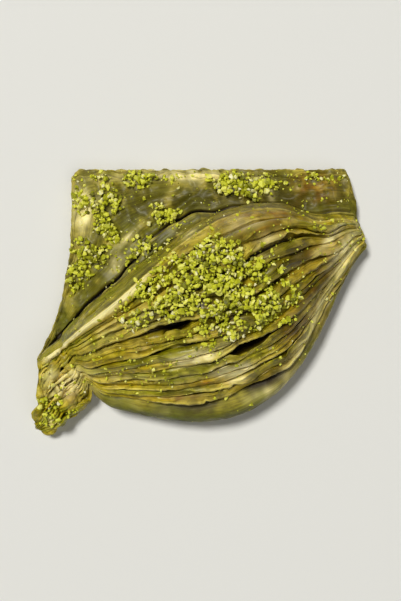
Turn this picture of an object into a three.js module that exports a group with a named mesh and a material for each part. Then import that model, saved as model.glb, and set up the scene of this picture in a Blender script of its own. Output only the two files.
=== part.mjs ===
// Mussel-folded baklava: one pastry, cut as a leaning rhomboid from the baking sheet.
// A pleated dome of phyllo leaves runs along the long diagonal, from a pinched knob
// at the lower left to a flattened fan at the upper right. A thin flap of stacked
// phyllo is left beside it on the upper left, with a bowed cut and a straight cut.
//
// Units are millimetres, +Z up. The origin is the middle of the footprint's box,
// on the surface that the pastry stands on.

import * as THREE from 'three';
import { mergeVertices } from 'three/addons/utils/BufferGeometryUtils.js';

// ---------------------------------------------------------------- driving sizes
const TIP_A = new THREE.Vector2(-31.2, -19.4);    // root of the knob, on the diagonal
const TIP_B = new THREE.Vector2(34.2, 13.3);      // end of the fan, on the diagonal
const KNOB_REACH = 6.3;           // how far the knob runs on beyond its root
const FAN_END = new THREE.Vector2(33.9, 16.4);    // middle of the fan's blunt end

const RIM_HALF_AT_TIPS = 2.7;     // half width of the dome at its ends, rim side
const RIM_BULGE = 19.6;           // how far the rim side swells beyond that
const KNOB_SIDE = 3.8;            // its end lies this far off the diagonal, rim side
const KNOB_EXTRA = 3.8;           // the knob is this much fuller on the rim side
const KNOB_BEND = new THREE.Vector2(0, -2.0);     // its end leans this way
const KNOB_LENGTH = 0.10;         // share of the diagonal that the knob's root takes
const NOTCH_DEPTH = 3.6;          // notch between knob and dome, in the outline
const NOTCH_WIDTH = 0.020;        // its half length along the diagonal, 0 to 1
const RIM_SAG = 0.9;              // the rim hangs out this much more near the knob
const RIM_SAG_AT = 0.27;          // where that is most
const RIM_SAG_WIDTH = 0.16;       // and half of its length
const RIDGE_OFF_A = 6.3;          // ridge side, offset at the knob
const RIDGE_OFF_B = 4.2;          // ridge side, offset at the fan
const RIDGE_BULGE = 11.2;         // swelling of the ridge side
const RIDGE_SKEW = 1.6;           // pushes that swelling towards the fan
const NECK_AT = 0.90;             // the leaves are gathered here before the fan
const NECK_DEPTH = 2.4;           // how far the ridge side is drawn in there
const NECK_WIDTH = 0.055;         // half length of the neck
const SHOULDER = 1.3;             // the ridge stands out this much more near the knob
const SHOULDER_AT = 0.15;         // where that is most
const SHOULDER_WIDTH = 0.13;      // and half of its length

const FLAP_FOOT = new THREE.Vector2(-35.3, -12.4);   // where the bowed cut starts
const FLAP_BOW = new THREE.Vector2(-26.6, 1.6);      // its control point
const FLAP_CORNER = new THREE.Vector2(-28.4, 28.2);  // corner of the two cuts
const FLAP_END = new THREE.Vector2(31.3, 28.2);      // end of the straight cut
const FLAP_CORNER_AT = 0.37;      // place of the corner along the diagonal, 0 to 1
const FLAP_CORNER_ROUND = 0.030;  // half of the stretch over which it is rounded
const FLAP_THICK = 5.2;           // stacked phyllo of the flap, at the dome
const FLAP_THICK_OUT = 4.2;       // the same at the cut edge
const WALL_WIDTH = 2.3;           // the wall below the ridge spreads this much in plan
const WALL_AT = 0.30;             // where along the diagonal it spreads most
const WALL_HALF = 0.19;           // half of that stretch
const SKIRT_WIDTH = 3.3;          // a leaf lies flat at the wall's foot: its widest
const SKIRT_AT = 0.52;            // where along the diagonal it is widest
const SKIRT_HALF = 0.125;         // half of its length along the diagonal
const SKIRT_STEP = 1.5;           // its edge stands this far off the flap
const GROOVE_DEPTH = 1.2;         // groove along the wall's foot and the skirt's edge

const HEIGHT = 25.8;              // top of the dome, without its leaves' edges
const HEIGHT_KNOB = 9.8;          // height of the knob's root
const HEIGHT_FAN = 7.6;           // height of the fan's end
const CRIMP_AT = 0.088;           // the pinched line between knob and dome
const CRIMP_DEPTH = 1.8;          // its depth
const CREST_KNOB = 0.965;         // place of the crest across the dome, rim 0, ridge 1
const CREST_FAN = 0.80;           // the same over the fan's half
const FALL_KNOB = 0.03;           // how much lower the ridge is than the crest
const FALL_FAN = 0.22;            // the same over the fan's half
const LIP = 1.0;                  // the ridge stands up as a lip near the knob
const LIP_AT = 0.17;              // where it is highest
const LIP_HALF = 0.19;            // half of its length
const RIM_HEIGHT = 5.0;           // top of the rolled rim
const RIM_UNDERCUT = 1.7;         // how far the rim's foot is drawn in

// Three long lines set the run of the leaves: [along the diagonal, across the dome].
const LINE_RIM = [[0, 0.10], [0.13, 0.185], [0.25, 0.170], [0.37, 0.148], [0.48, 0.133],
  [0.55, 0.115], [0.62, 0.090], [0.72, 0.080], [0.83, 0.086], [0.92, 0.070], [1, 0.070]];
const LINE_LOW = [[0, 0.37], [0.11, 0.43], [0.23, 0.468], [0.36, 0.434], [0.467, 0.388],
  [0.517, 0.366], [0.574, 0.336], [0.631, 0.302], [0.726, 0.277], [0.834, 0.264], [1, 0.28]];
const LINE_TOP = [[0, 0.69], [0.107, 0.748], [0.209, 0.772], [0.319, 0.718], [0.36, 0.691],
  [0.406, 0.662], [0.453, 0.634], [0.536, 0.589], [0.654, 0.546], [0.775, 0.518], [1, 0.52]];
const LOW_LEAVES = 3;             // phyllo leaves from the rolled rim to the low line
const MID_LEAVES = 3;             // from the low line to the top line
const RIDGE_LEAVES = 4;           // from the top line to the ridge
const LEAF_STEP = 1.5;            // how far a leaf's free edge stands off the next
const LEAF_STEP_TIPS = 0.5;       // the same at the two ends
const LEAF_WANDER = 0.013;        // uneven spacing of the leaves

const ROWS = 54;                  // sections along the diagonal
const CAP_ROWS_A = 7;             // rows that close the knob
const CAP_ROWS_B = 2;             // rows that close the fan
const KNOB_END_HEIGHT = 3.6;      // height of the knob's outermost point
const FAN_END_HEIGHT = 3.0;       // height of the fan's outermost point

// ---------------------------------------------------------------- plan curves
const axis = TIP_B.clone().sub(TIP_A);
const axisLength = axis.length();
const along = axis.clone().divideScalar(axisLength);
const across = new THREE.Vector2(-along.y, along.x);   // from the rim to the flap

const onAxis = (s, offset) => TIP_A.clone()
  .addScaledVector(along, s * axisLength)
  .addScaledVector(across, offset);

const hump = (s, power) => Math.pow(Math.max(0, Math.sin(Math.PI * Math.min(1, Math.max(0, s)))), power);
const bell = (s, at, width) => Math.exp(-Math.pow((s - at) / width, 2));

function rimOffset(s) {
  return -(RIM_HALF_AT_TIPS + RIM_BULGE * hump(s, 1.3))
    - KNOB_EXTRA * Math.pow(Math.max(0, 1 - s / KNOB_LENGTH), 1.5)
    - RIM_SAG * bell(s, RIM_SAG_AT, RIM_SAG_WIDTH)
    + NOTCH_DEPTH * bell(s, KNOB_LENGTH, NOTCH_WIDTH);
}

function ridgeOffset(s) {
  return RIDGE_OFF_A * (1 - s) + RIDGE_OFF_B * s
    + RIDGE_BULGE * hump(Math.pow(s, RIDGE_SKEW), 1)
    - NECK_DEPTH * bell(s, NECK_AT, NECK_WIDTH)
    + SHOULDER * bell(s, SHOULDER_AT, SHOULDER_WIDTH);
}

const rimPoint = (s) => onAxis(s, rimOffset(s));
const ridgePoint = (s) => onAxis(s, ridgeOffset(s));

// the bowed cut up to the corner, then the straight cut to the fan
const bowedCut = new THREE.QuadraticBezierCurve(FLAP_FOOT, FLAP_BOW, FLAP_CORNER);
const straightCut = new THREE.LineCurve(FLAP_CORNER, FLAP_END);

function flapPoint(s) {
  const k = FLAP_CORNER_AT, r = FLAP_CORNER_ROUND;
  const onBow = (x) => bowedCut.getPoint(x / k);
  const onStraight = (x) => straightCut.getPoint((x - k) / (1 - k));
  if (s <= k - r) return onBow(s);
  if (s >= k + r) return onStraight(s);
  const corner = new THREE.QuadraticBezierCurve(onBow(k - r), FLAP_CORNER, onStraight(k + r));
  return corner.getPoint((s - k + r) / (2 * r));
}

// ---------------------------------------------------------------- heights
function crestHeight(s) {
  const low = HEIGHT_KNOB * (1 - s) + HEIGHT_FAN * s;
  return low + (HEIGHT - low) * hump((s - 0.06) / 0.94, 0.85)
    - CRIMP_DEPTH * bell(s, CRIMP_AT, 0.025);
}

const step = (x, a, b) => {
  const f = Math.min(1, Math.max(0, (x - a) / (b - a)));
  return f * f * (3 - 2 * f);
};

function domeHeight(s, t) {
  const top = crestHeight(s);
  const towardsFan = step(s, 0.26, 0.60);
  const crest = CREST_KNOB + (CREST_FAN - CREST_KNOB) * towardsFan;
  const fall = FALL_KNOB + (FALL_FAN - FALL_KNOB) * towardsFan;
  if (t < crest) {
    return RIM_HEIGHT + (top - RIM_HEIGHT) * Math.pow(Math.sin(0.5 * Math.PI * t / crest), 0.92);
  }
  const f = (t - crest) / (1 - crest);
  const ridge = Math.max(FLAP_THICK + 1.6, top * (1 - fall));
  return top + (ridge - top) * Math.pow(f, 2.8);
}

// the soft line through a table's points, at s
function track(table, s) {
  const at = (x) => {
    if (x <= table[0][0]) return table[0][1];
    for (let k = 1; k < table.length; k++) {
      const [a, u] = table[k - 1], [b, v] = table[k];
      if (x <= b) return u + (v - u) * (x - a) / (b - a);
    }
    return table[table.length - 1][1];
  };
  let sum = 0, total = 0;
  for (let k = -4; k <= 4; k++) {
    const weight = 1 + Math.cos(Math.PI * k / 5);
    sum += weight * at(s + 0.01 * k);
    total += weight;
  }
  return sum / total;
}

// A leaf's place across the dome; the spacing is a little uneven.
const TOP_LEAVES = 1 + LOW_LEAVES + MID_LEAVES;

function leafEdge(i, s) {
  const rim = track(LINE_RIM, s), low = track(LINE_LOW, s), top = track(LINE_TOP, s);
  const wander = LEAF_WANDER * Math.sin(2.7 * i + 5.1 * s + 1.3 * Math.sin(4.0 * s + i));
  if (i === 0) return 0;
  if (i <= 1 + LOW_LEAVES) {
    const k = (i - 1) / LOW_LEAVES;
    return rim + (low - rim) * k + (k > 0 && k < 1 ? wander : 0);
  }
  if (i <= TOP_LEAVES) {
    const k = (i - 1 - LOW_LEAVES) / MID_LEAVES;
    return low + (top - low) * k + (k < 1 ? wander : 0);
  }
  const k = (i - TOP_LEAVES) / RIDGE_LEAVES;
  return top + (1 - top) * k + (k < 1 ? wander : 0);
}

const leafStep = (i, s) => (LEAF_STEP_TIPS + (LEAF_STEP - LEAF_STEP_TIPS) * hump(s, 0.7))
  * (0.82 + 0.35 * Math.sin(1.9 * i + 0.6) + 0.12 * Math.sin(17 * s + 2.2 * i));

// ---------------------------------------------------------------- one section
// Points of the closed section at s, as [x, y, z], starting under the flap.
function section(s) {
  const rim = rimPoint(s), ridge = ridgePoint(s), flap = flapPoint(s);
  const inDome = (t) => rim.clone().lerp(ridge, t);
  const points = [];
  const add = (p, z) => points.push([p.x, p.y, z]);

  // flat underside, flap to rim
  const outward = rim.clone().sub(ridge).normalize();
  const foot = rim.clone().addScaledVector(outward, -RIM_UNDERCUT);
  const flapFoot = flap.clone().lerp(rim, 0.012);
  const ridgeFoot = ridge.clone().lerp(rim, 0.02);
  for (const p of [flapFoot, flapFoot.clone().lerp(ridgeFoot, 0.6), ridgeFoot, foot]) add(p, 0);

  // rolled rim
  add(rim.clone().addScaledVector(outward, -0.35), 1.1);
  add(rim, 2.9);
  add(rim.clone().addScaledVector(outward, -0.55), RIM_HEIGHT - 0.5);

  // leaves from the rolled rim to the ridge: each one's free edge faces the rim and
  // stands over a groove
  for (let i = 1; i <= TOP_LEAVES + RIDGE_LEAVES; i++) {
    const a = leafEdge(i - 1, s), b = leafEdge(i, s), step = leafStep(i, s);
    const lifts = i === 1 ? [[0.10, 0.0], [0.3, 0.4], [0.62, 0.35], [0.94, -0.35]]
      : [[0.0, 0.45], [0.12, 0.6], [0.5, 0.2], [0.95, -0.3]];
    for (const [f, lift] of lifts) {
      const t = a + (b - a) * f;
      add(inDome(t), domeHeight(s, t) + lift * step);
    }
  }

  // the outer fold of the dome, and its wall down to the skirt
  const wallTop = domeHeight(s, 1) + LIP * bell(s, LIP_AT, LIP_HALF);
  const flapDir = flap.clone().sub(ridge);
  const flapWidth = Math.max(flapDir.length(), 1e-6);
  flapDir.divideScalar(flapWidth);
  const shift = Math.min(1.1 + WALL_WIDTH * bell(s, WALL_AT, WALL_HALF), 0.36 * flapWidth);
  const skirtWidth = Math.min(0.62 * flapWidth,
    shift + 0.55 + SKIRT_WIDTH * bell(s, SKIRT_AT, SKIRT_HALF));
  const skirtRise = 0.5 * hump(s, 0.6) + 1.5 * bell(s, 0.54, 0.16);
  const out = (d) => ridge.clone().addScaledVector(flapDir, d);
  add(ridge, wallTop + 0.35);
  add(out(0.6 * shift), wallTop - 0.9 - 0.3 * (wallTop - FLAP_THICK) * step(shift, 1.2, 3.4));
  add(out(shift), FLAP_THICK + skirtRise);

  // skirt, its edge with the groove, and the flap out to the cut
  const skirtStep = SKIRT_STEP * bell(s, 0.55, 0.22);
  const lane = 0.25 + 0.65 * Math.min(1, flapWidth / 12);
  const groove = GROOVE_DEPTH * Math.min(1, flapWidth / 9)
    * Math.min(1, step(s, 0, 0.06) * (1 - step(s, 0.34, 0.44)) + bell(s, 0.585, 0.085));
  add(out(shift + 0.55 * (skirtWidth - shift)), FLAP_THICK + 0.45 * skirtRise + 0.4 * skirtStep);
  add(out(skirtWidth), FLAP_THICK + 0.65 * skirtStep);
  add(out(skirtWidth + 0.5 * lane), FLAP_THICK - 0.5 - groove);
  const start = skirtWidth + lane;
  for (const f of [0.0, 0.3, 0.55, 0.8, 0.985]) {
    const d = start + (flapWidth - start) * f;
    const wave = 0.4 * Math.sin(9 * s + 6 * f) * f;
    add(out(d), FLAP_THICK - 0.4 + (FLAP_THICK_OUT - FLAP_THICK + 0.4) * f + wave);
  }
  // cut edge
  add(flap, FLAP_THICK_OUT - 0.7);
  add(flap.clone().lerp(rim, 0.004), 1.4);
  return points;
}

// ---------------------------------------------------------------- the solid
// A sphere's rows become the sections and its two poles the knob and the fan.
const around = section(0.5).length;
const rows = CAP_ROWS_A + ROWS + CAP_ROWS_B;
const geometry = new THREE.SphereGeometry(1, around, rows);
geometry.deleteAttribute('normal');
geometry.deleteAttribute('uv');
const position = geometry.getAttribute('position');

function knobRow(base, c) {
  // c runs from 0 at the knob's end to 1 at its root. The rim side closes in a round
  // nose, the flap side in the straight line of the cut.
  const round = Math.pow(1 - Math.pow(1 - c, 2.4), 1 / 2.4);
  const low = rimOffset(0);
  const high = FLAP_FOOT.clone().sub(TIP_A).dot(across);
  return base.map(([x, y, z]) => {
    const from = new THREE.Vector2(x, y).sub(TIP_A);
    const u = from.dot(along), v = from.dot(across);
    const side = Math.min(1, Math.max(0, (v - low) / (high - low)));
    const open = round * (1 - side) + (0.25 * round + 0.75 * c) * side;
    const at = onAxis((u * c - KNOB_REACH * (1 - c)) / axisLength,
      -KNOB_SIDE + (v + KNOB_SIDE) * open).addScaledVector(KNOB_BEND, Math.pow(1 - c, 0.9));
    const top = KNOB_END_HEIGHT + (z - KNOB_END_HEIGHT) * round;
    return [at.x, at.y, z > 0.01 ? top : 0];
  });
}

for (let row = 0; row <= rows; row++) {
  let ring;
  if (row < CAP_ROWS_A) {
    ring = knobRow(section(0), Math.pow(row / CAP_ROWS_A, 1.6));
  } else if (row > CAP_ROWS_A + ROWS) {
    // the fan's blunt end: one slightly smaller row, then its middle
    const shrink = 0.93 * (rows - row) / (CAP_ROWS_B - 1);
    ring = section(1).map(([x, y, z]) => [
      FAN_END.x + 0.25 + (x - FAN_END.x) * shrink,
      FAN_END.y + (y - FAN_END.y) * shrink,
      FAN_END_HEIGHT + (z - FAN_END_HEIGHT) * shrink,
    ]);
  } else {
    // sections lie closer together near the two ends
    const x = (row - CAP_ROWS_A) / ROWS;
    ring = section(x - 0.085 * Math.sin(2 * Math.PI * x));
  }
  for (let k = 0; k <= around; k++) {
    const [x, y, z] = ring[k % around];
    const pole = row === 0 ? KNOB_END_HEIGHT : row === rows ? FAN_END_HEIGHT : z;
    position.setXYZ(row * (around + 1) + k, x, y, pole);
  }
}

// the origin goes to the middle of the footprint's box
geometry.computeBoundingBox();
const box = geometry.boundingBox;
geometry.translate(-(box.min.x + box.max.x) / 2, -(box.min.y + box.max.y) / 2, 0);

const solid = mergeVertices(geometry, 1e-4);

// faces point outward: the signed volume has to be positive
{
  const p = solid.getAttribute('position'), index = solid.getIndex();
  const a = new THREE.Vector3(), b = new THREE.Vector3(), c = new THREE.Vector3();
  let volume = 0;
  for (let i = 0; i < index.count; i += 3) {
    a.fromBufferAttribute(p, index.getX(i));
    b.fromBufferAttribute(p, index.getX(i + 1));
    c.fromBufferAttribute(p, index.getX(i + 2));
    volume += a.dot(b.cross(c)) / 6;
  }
  if (volume < 0) {
    for (let i = 0; i < index.count; i += 3) {
      const second = index.getX(i + 1);
      index.setX(i + 1, index.getX(i + 2));
      index.setX(i + 2, second);
    }
  }
}

const pastry = new THREE.Mesh(solid, new THREE.MeshStandardMaterial({
  color: 0x9a8f3c, roughness: 0.42, metalness: 0.0,
}));
pastry.name = 'baklava_piece';

const model = new THREE.Group();
model.add(pastry);
export default model;
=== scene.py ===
"""Mussel-folded pistachio baklava: one pastry of syrup-soaked phyllo leaves with ground
pistachio on its dome. Lengths are millimetres until a mesh is made, then metres."""
import math

import bpy
import numpy as np
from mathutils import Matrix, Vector
from mathutils.bvhtree import BVHTree


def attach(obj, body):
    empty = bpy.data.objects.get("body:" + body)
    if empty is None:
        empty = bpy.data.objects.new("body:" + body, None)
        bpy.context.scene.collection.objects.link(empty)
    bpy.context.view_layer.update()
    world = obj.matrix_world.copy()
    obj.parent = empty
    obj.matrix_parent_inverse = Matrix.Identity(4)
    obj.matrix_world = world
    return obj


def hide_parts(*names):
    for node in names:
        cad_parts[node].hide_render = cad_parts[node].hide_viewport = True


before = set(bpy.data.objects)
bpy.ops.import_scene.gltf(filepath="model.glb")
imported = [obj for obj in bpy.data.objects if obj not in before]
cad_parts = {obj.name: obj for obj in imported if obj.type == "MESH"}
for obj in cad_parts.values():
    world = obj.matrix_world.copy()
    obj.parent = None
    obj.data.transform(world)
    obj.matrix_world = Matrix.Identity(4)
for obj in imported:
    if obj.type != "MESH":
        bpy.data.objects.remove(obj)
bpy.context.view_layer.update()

SHIFT = np.array([0.144, 0.135])  # plan curves' frame to the row frame

# ------------------------------------------------------------------ plan and heights
TIP_A = np.array([-31.2, -19.4])
TIP_B = np.array([34.2, 13.3])
KNOB_REACH = 6.3
KNOB_SIDE = 3.8
KNOB_BEND = np.array([0.0, -2.0])   # the knob's end leans this way
KNOB_END_HEIGHT = 3.6
FAN_END = np.array([33.9, 16.4])
FAN_END_HEIGHT = 3.0
FLAP_FOOT = np.array([-35.3, -12.4])
FLAP_BOW = np.array([-26.6, 1.6])
FLAP_CORNER = np.array([-28.4, 28.2])
FLAP_END = np.array([31.3, 28.2])
FLAP_THICK = 5.2
FLAP_THICK_OUT = 4.2
HEIGHT = 25.2
HEIGHT_KNOB = 9.8
HEIGHT_FAN = 7.6
RIM_HEIGHT = 5.0

AXIS = TIP_B - TIP_A
LENGTH = float(np.linalg.norm(AXIS))
ALONG = AXIS / LENGTH
ACROSS = np.array([-ALONG[1], ALONG[0]])


class Waves:
    """Smooth seeded noise of about unit size: a sum of plane waves of lengths lo..hi."""

    def __init__(self, seed, lo, hi, dim, n=26):
        r = np.random.default_rng(seed)
        k = r.normal(size=(n, dim))
        k /= np.linalg.norm(k, axis=1)[:, None]
        wave = np.exp(r.uniform(np.log(lo), np.log(hi), n))
        self.k = k * (2 * np.pi / wave)[:, None]
        self.phase = r.uniform(0, 2 * np.pi, n)
        self.size = math.sqrt(2.0 / n)

    def __call__(self, *coords):
        coords = np.broadcast_arrays(*[np.asarray(c, float) for c in coords])
        total = np.zeros(coords[0].shape)
        for k, p in zip(self.k, self.phase):
            a = p
            for c, kc in zip(coords, k):
                a = a + c * kc
            total += np.cos(a)
        return total * self.size


def hump(s, p):
    return np.maximum(0.0, np.sin(np.pi * np.clip(s, 0, 1))) ** p


def bell(s, at, width):
    return np.exp(-((s - at) / width) ** 2)


def smooth(x, a, b):
    """0 below a, 1 above b, a soft step between."""
    x = np.clip((x - a) / (b - a), 0, 1)
    return x * x * (3 - 2 * x)


def on_axis(s, off):
    s, off = np.broadcast_arrays(s, off)
    return TIP_A + s[..., None] * AXIS + off[..., None] * ACROSS


def rim_off(s):
    return (-(2.7 + 19.6 * hump(s, 1.3)) - 3.8 * np.maximum(0, 1 - s / 0.10) ** 1.5
            - 0.9 * bell(s, 0.27, 0.16) + 3.6 * bell(s, 0.10, 0.020))


def ridge_off(s):
    return (6.3 * (1 - s) + 4.2 * s + 11.2 * hump(np.clip(s, 0, 1) ** 1.6, 1)
            - 2.4 * bell(s, 0.90, 0.055) + 1.3 * bell(s, 0.15, 0.13))


def flap_point(s):
    def bow(x):
        x = np.clip(x / 0.37, 0, 1.2)[..., None]
        return (1 - x) ** 2 * FLAP_FOOT + 2 * x * (1 - x) * FLAP_BOW + x ** 2 * FLAP_CORNER

    def straight(x):
        x = np.clip((x - 0.37) / 0.63, -0.2, 1)[..., None]
        return FLAP_CORNER + (FLAP_END - FLAP_CORNER) * x

    k, r = 0.37, 0.03
    f = np.clip((s - k + r) / (2 * r), 0, 1)[..., None]
    a, b = bow(np.full_like(s, k - r)), straight(np.full_like(s, k + r))
    corner = (1 - f) ** 2 * a + 2 * f * (1 - f) * FLAP_CORNER + f ** 2 * b
    out = np.where((s <= k - r)[..., None], bow(s), straight(s))
    return np.where((np.abs(s - k) < r)[..., None], corner, out)


def crest_height(s):
    low = HEIGHT_KNOB * (1 - s) + HEIGHT_FAN * s
    return (low + (HEIGHT - low) * hump((s - 0.06) / 0.94, 0.85)
            - 1.8 * bell(s, 0.088, 0.025))


def crest_at(s):
    """Place of the crest across the dome: at the ridge by the knob, further in beyond."""
    return 0.965 - 0.165 * smooth(s, 0.26, 0.60)


def ridge_fall(s):
    """How much lower the ridge is than the crest."""
    return 0.03 + 0.19 * smooth(s, 0.26, 0.60)


swell = Waves(11, 11.0, 26.0, 2)
pleat = Waves(12, 3.4, 7.5, 2)


def dome_height(s, t):
    top = crest_height(s)
    at = crest_at(s)
    up = RIM_HEIGHT + (top - RIM_HEIGHT) * np.sin(0.5 * np.pi * np.clip(t / at, 0, 1)) ** 0.92
    f = np.clip((t - at) / (1 - at), 0, 1.2)
    ridge = np.maximum(FLAP_THICK + 1.6, top * (1 - ridge_fall(s)))
    down = top + (ridge - top) * f ** 2.8
    z = np.where(t < at, up, down)
    # uneven swelling, and long soft pleats that follow the leaves
    free = hump(s, 0.5) * smooth(t, 0.0, 0.16) * smooth(1 - t, 0.0, 0.10)
    z = z + free * 0.55 * swell(s * LENGTH, t * 38.0)
    z = z + free * 0.34 * pleat(s * LENGTH / 7.0, t * 38.0)
    # the ridge stands up as a lip near the knob, with a shallow trough beside it
    z = z + 1.0 * smooth(t, 0.93, 0.98) * bell(s, 0.17, 0.19)
    z = z - 0.6 * bell(t, 0.895, 0.04) * bell(s, 0.20, 0.18)
    # gathered pleats of the fan
    z = z + 0.42 * np.cos(2 * np.pi * (4.6 * t + 0.15)) * smooth(s, 0.80, 0.94)
    return z


def dome_xyz(s, t):
    s, t = np.broadcast_arrays(s, t)
    rim, ridge = on_axis(s, rim_off(s)), on_axis(s, ridge_off(s))
    xy = rim + (ridge - rim) * t[..., None]
    return np.concatenate([xy, dome_height(s, t)[..., None]], -1)


def dome_frame(s, t):
    """Point, upward normal, and millimetres for one unit of t, on the bare dome."""
    es, et = 2e-3, 3e-3
    p = dome_xyz(s, t)
    s0, s1 = np.clip(s - es, 0, 1), np.clip(s + es, 0, 1)
    du = (dome_xyz(s1, t) - dome_xyz(s0, t)) / (s1 - s0)[..., None]
    dv = (dome_xyz(s, t + et) - dome_xyz(s, t - et)) / (2 * et)
    n = np.cross(du, dv)
    n /= np.linalg.norm(n, axis=-1)[..., None]
    n *= np.sign(n[..., 2:3])
    return p, n, np.linalg.norm(dv, axis=-1)


# ------------------------------------------------------------------ rows
N = 300
x = np.linspace(0, 1, N)
S = x - 0.030 * np.sin(2 * np.pi * x)
U = S * LENGTH
fade_a = smooth(S, -0.02, 0.19)         # 0 at the knob
fade_b = smooth(1 - S, -0.01, 0.16)     # 0 at the fan
fade = np.minimum(fade_a, fade_b)
grow = (0.14 + 0.86 * fade_a) * (0.36 + 0.64 * fade_b)

cols = []   # one entry per ring point: dict of (N,) arrays


def col(kind, **k):
    k["kind"] = kind
    cols.append(k)


def wig(seed, lo, hi):
    return Waves(seed, lo, hi, 1, 18)(U)


Z0 = np.zeros(N)
ONE = np.ones(N)
rim, ridge, flap = on_axis(S, rim_off(S)), on_axis(S, ridge_off(S)), flap_point(S)
outward = rim - ridge
outward /= np.linalg.norm(outward, axis=1)[:, None]


# the slit value of a point is the amount of painted shade there, in slits, grooves and under overhanging edges
def put(xy, z, edge=0.0, slit=0.0, tint=0.5, zone=0.0):
    col("xyz", p=np.concatenate([xy, np.broadcast_to(z, (N,))[:, None]], 1),
        edge=edge * ONE, slit=slit * ONE, tint=tint * ONE, zone=zone * ONE)


def put_dome(t, h, edge=0.0, slit=0.0, tint=0.5, zone=0.0):
    col("dome", t=t * ONE, h=h * ONE, edge=edge * ONE, slit=slit * ONE, tint=tint * ONE,
        zone=zone * ONE)


# --- flat underside, from the flap's foot to the rim's foot
flap_foot = flap + (rim - flap) * 0.012
ridge_foot = ridge + (rim - ridge) * 0.02
rim_foot = rim - outward * 1.7
put(flap_foot, 0.0, zone=3)
put(flap_foot + (ridge_foot - flap_foot) * 0.5, 0.0, zone=3)
put(ridge_foot, 0.0, zone=3)
put(ridge_foot + (rim_foot - ridge_foot) * 0.5, 0.0, zone=3)
put(rim_foot, 0.0, slit=0.4, zone=3)

# --- side of the rim: stacked plies
levels = np.array([0.0, 1.0, 2.0, 3.05, 4.15])


def rim_profile(z):
    return np.interp(z, [0, 0.5, 1.1, 2.9, 4.0, 4.6, 5.2], [-1.7, -0.85, -0.35, 0.0, -0.15, -0.5, -0.9])


for i in range(4):
    strong = np.clip(0.75 + 0.45 * wig(100 + i, 7, 22), 0.15, 1.3) * (0.45 + 0.55 * fade)
    lift = 0.10 * wig(110 + i, 5, 16)
    z0, z1 = levels[i], levels[i + 1]
    wob = 0.09 * wig(120 + i, 6, 20) * strong
    tint = 0.35 + 0.15 * i + 0.1 * wig(130 + i, 8, 30)
    for f, r, edge, slit in ((0.16, -0.10, 0.1, 0.4), (0.45, 0.10, 0.25, 0.0),
                             (0.80, 0.14, 0.7, 0.0), (1.0, -0.42, 0.0, 1.0)):
        z = z0 + (z1 - z0) * f + lift * f
        put(rim + outward * (rim_profile(z) + r * strong + wob)[:, None], z,
            edge=edge * np.minimum(1, strong), slit=slit * np.minimum(1, strong), tint=tint, zone=1)

RIM_COLS = (len(cols) - 3, len(cols) - 2, len(cols), len(cols) + 1)
# --- leaves of the dome
# Free edges: place across the dome, strength, and where along it they come up and die away
RIM_EDGES = [(0.0, 0.0, -1, 2), (0.074, 1.0, -1, 2), (0.128, 0.75, 0.06, 0.80), (0.196, 1.0, -1, 2),
             (0.246, 0.70, 0.30, 1.1), (0.322, 0.95, -1, 0.86), (0.392, 1.0, 0.22, 2),
             (0.446, 0.70, -1, 0.56), (0.522, 0.95, 0.05, 2), (0.584, 0.75, 0.34, 0.95),
             (0.668, 1.0, -1, 2)]
RIDGE_EDGES = [(0.676, 1.0, -1, 2), (0.748, 0.65, 0.16, 0.90), (0.812, 0.80, -1, 2),
               (0.876, 0.45, 0.30, 1.1), (0.936, 0.40, 0.05, 0.75), (1.0, 0.0, -1, 2)]

# openings between leaves: edge, middle along the dome, half length, width mm, depth mm
SLITS = [(6, 0.574, 0.064, 1.95, 5.4), (10, 0.406, 0.045, 0.60, 3.4), (3, 0.66, 0.07, 0.50, 1.6),
         (1, 0.345, 0.085, 0.55, 1.9), (1, 0.555, 0.080, 0.80, 2.7), (5, 0.25, 0.07, 0.35, 1.0),
         (8, 0.30, 0.06, 0.30, 1.0), (8, 0.80, 0.05, 0.35, 1.0), (3, 0.27, 0.07, 0.30, 0.9)]
RIDGE_SLITS = [(2, 0.62, 0.10, 0.45, 1.3), (4, 0.33, 0.12, 0.35, 1.1), (2, 0.84, 0.05, 0.45, 1.2),
               (0, 0.406, 0.045, 0.10, 3.0)]
# leaves drawn apart at the two openings: edge and way in mm, rim side and ridge side
SPREAD = {0: [(5, -0.50), (6, 1.05), (7, 0.45), (10, 0.05)], 40: [(0, 0.50)]}


def track(points):
    """A soft line through (s, t) points, at every row."""
    fine_s = np.linspace(-0.1, 1.1, 601)
    value = np.interp(fine_s, [q[0] for q in points], [q[1] for q in points])
    window = np.hanning(41)
    value = np.convolve(np.pad(value, 20, "edge"), window / window.sum(), "valid")
    return np.interp(S, fine_s, value)


# three long lines set the run of all the leaves: above the rolled rim, through the lower
# opening, and through the upper opening
LINE_RIM = track([(0, 0.10), (0.13, 0.203), (0.25, 0.193), (0.37, 0.171), (0.48, 0.155), (0.55, 0.137),
                  (0.62, 0.110), (0.72, 0.096), (0.83, 0.096), (0.92, 0.072), (1, 0.070)])
LINE_LOW = track([(0, 0.37), (0.11, 0.43), (0.23, 0.468), (0.36, 0.434), (0.467, 0.388), (0.517, 0.366),
                  (0.574, 0.336), (0.631, 0.302), (0.726, 0.277), (0.834, 0.264), (0.927, 0.27), (1, 0.28)])
LINE_TOP = track([(0, 0.69), (0.107, 0.748), (0.209, 0.772), (0.319, 0.718), (0.36, 0.691), (0.406, 0.662),
                  (0.453, 0.634), (0.536, 0.589), (0.654, 0.546), (0.775, 0.518), (0.893, 0.517), (1, 0.52)])


def led(t):
    """The line that starts out at t, led by the three main lines."""
    knots = [(0.0, Z0), (0.074, LINE_RIM), (0.392, LINE_LOW), (0.668, LINE_TOP), (1.0, ONE)]
    for (a, low), (b, high) in zip(knots, knots[1:]):
        if t <= b:
            return low + (high - low) * (t - a) / (b - a)
    return ONE.copy()


def wander(i, t):
    drift = 0.0055 * wig(200 + i, 20, 60) + 0.0024 * wig(240 + i, 7, 16)
    return drift * np.minimum(1.0, smooth(t, 0.0, 0.14)) * smooth(1 - t, 0.0, 0.06)


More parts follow.
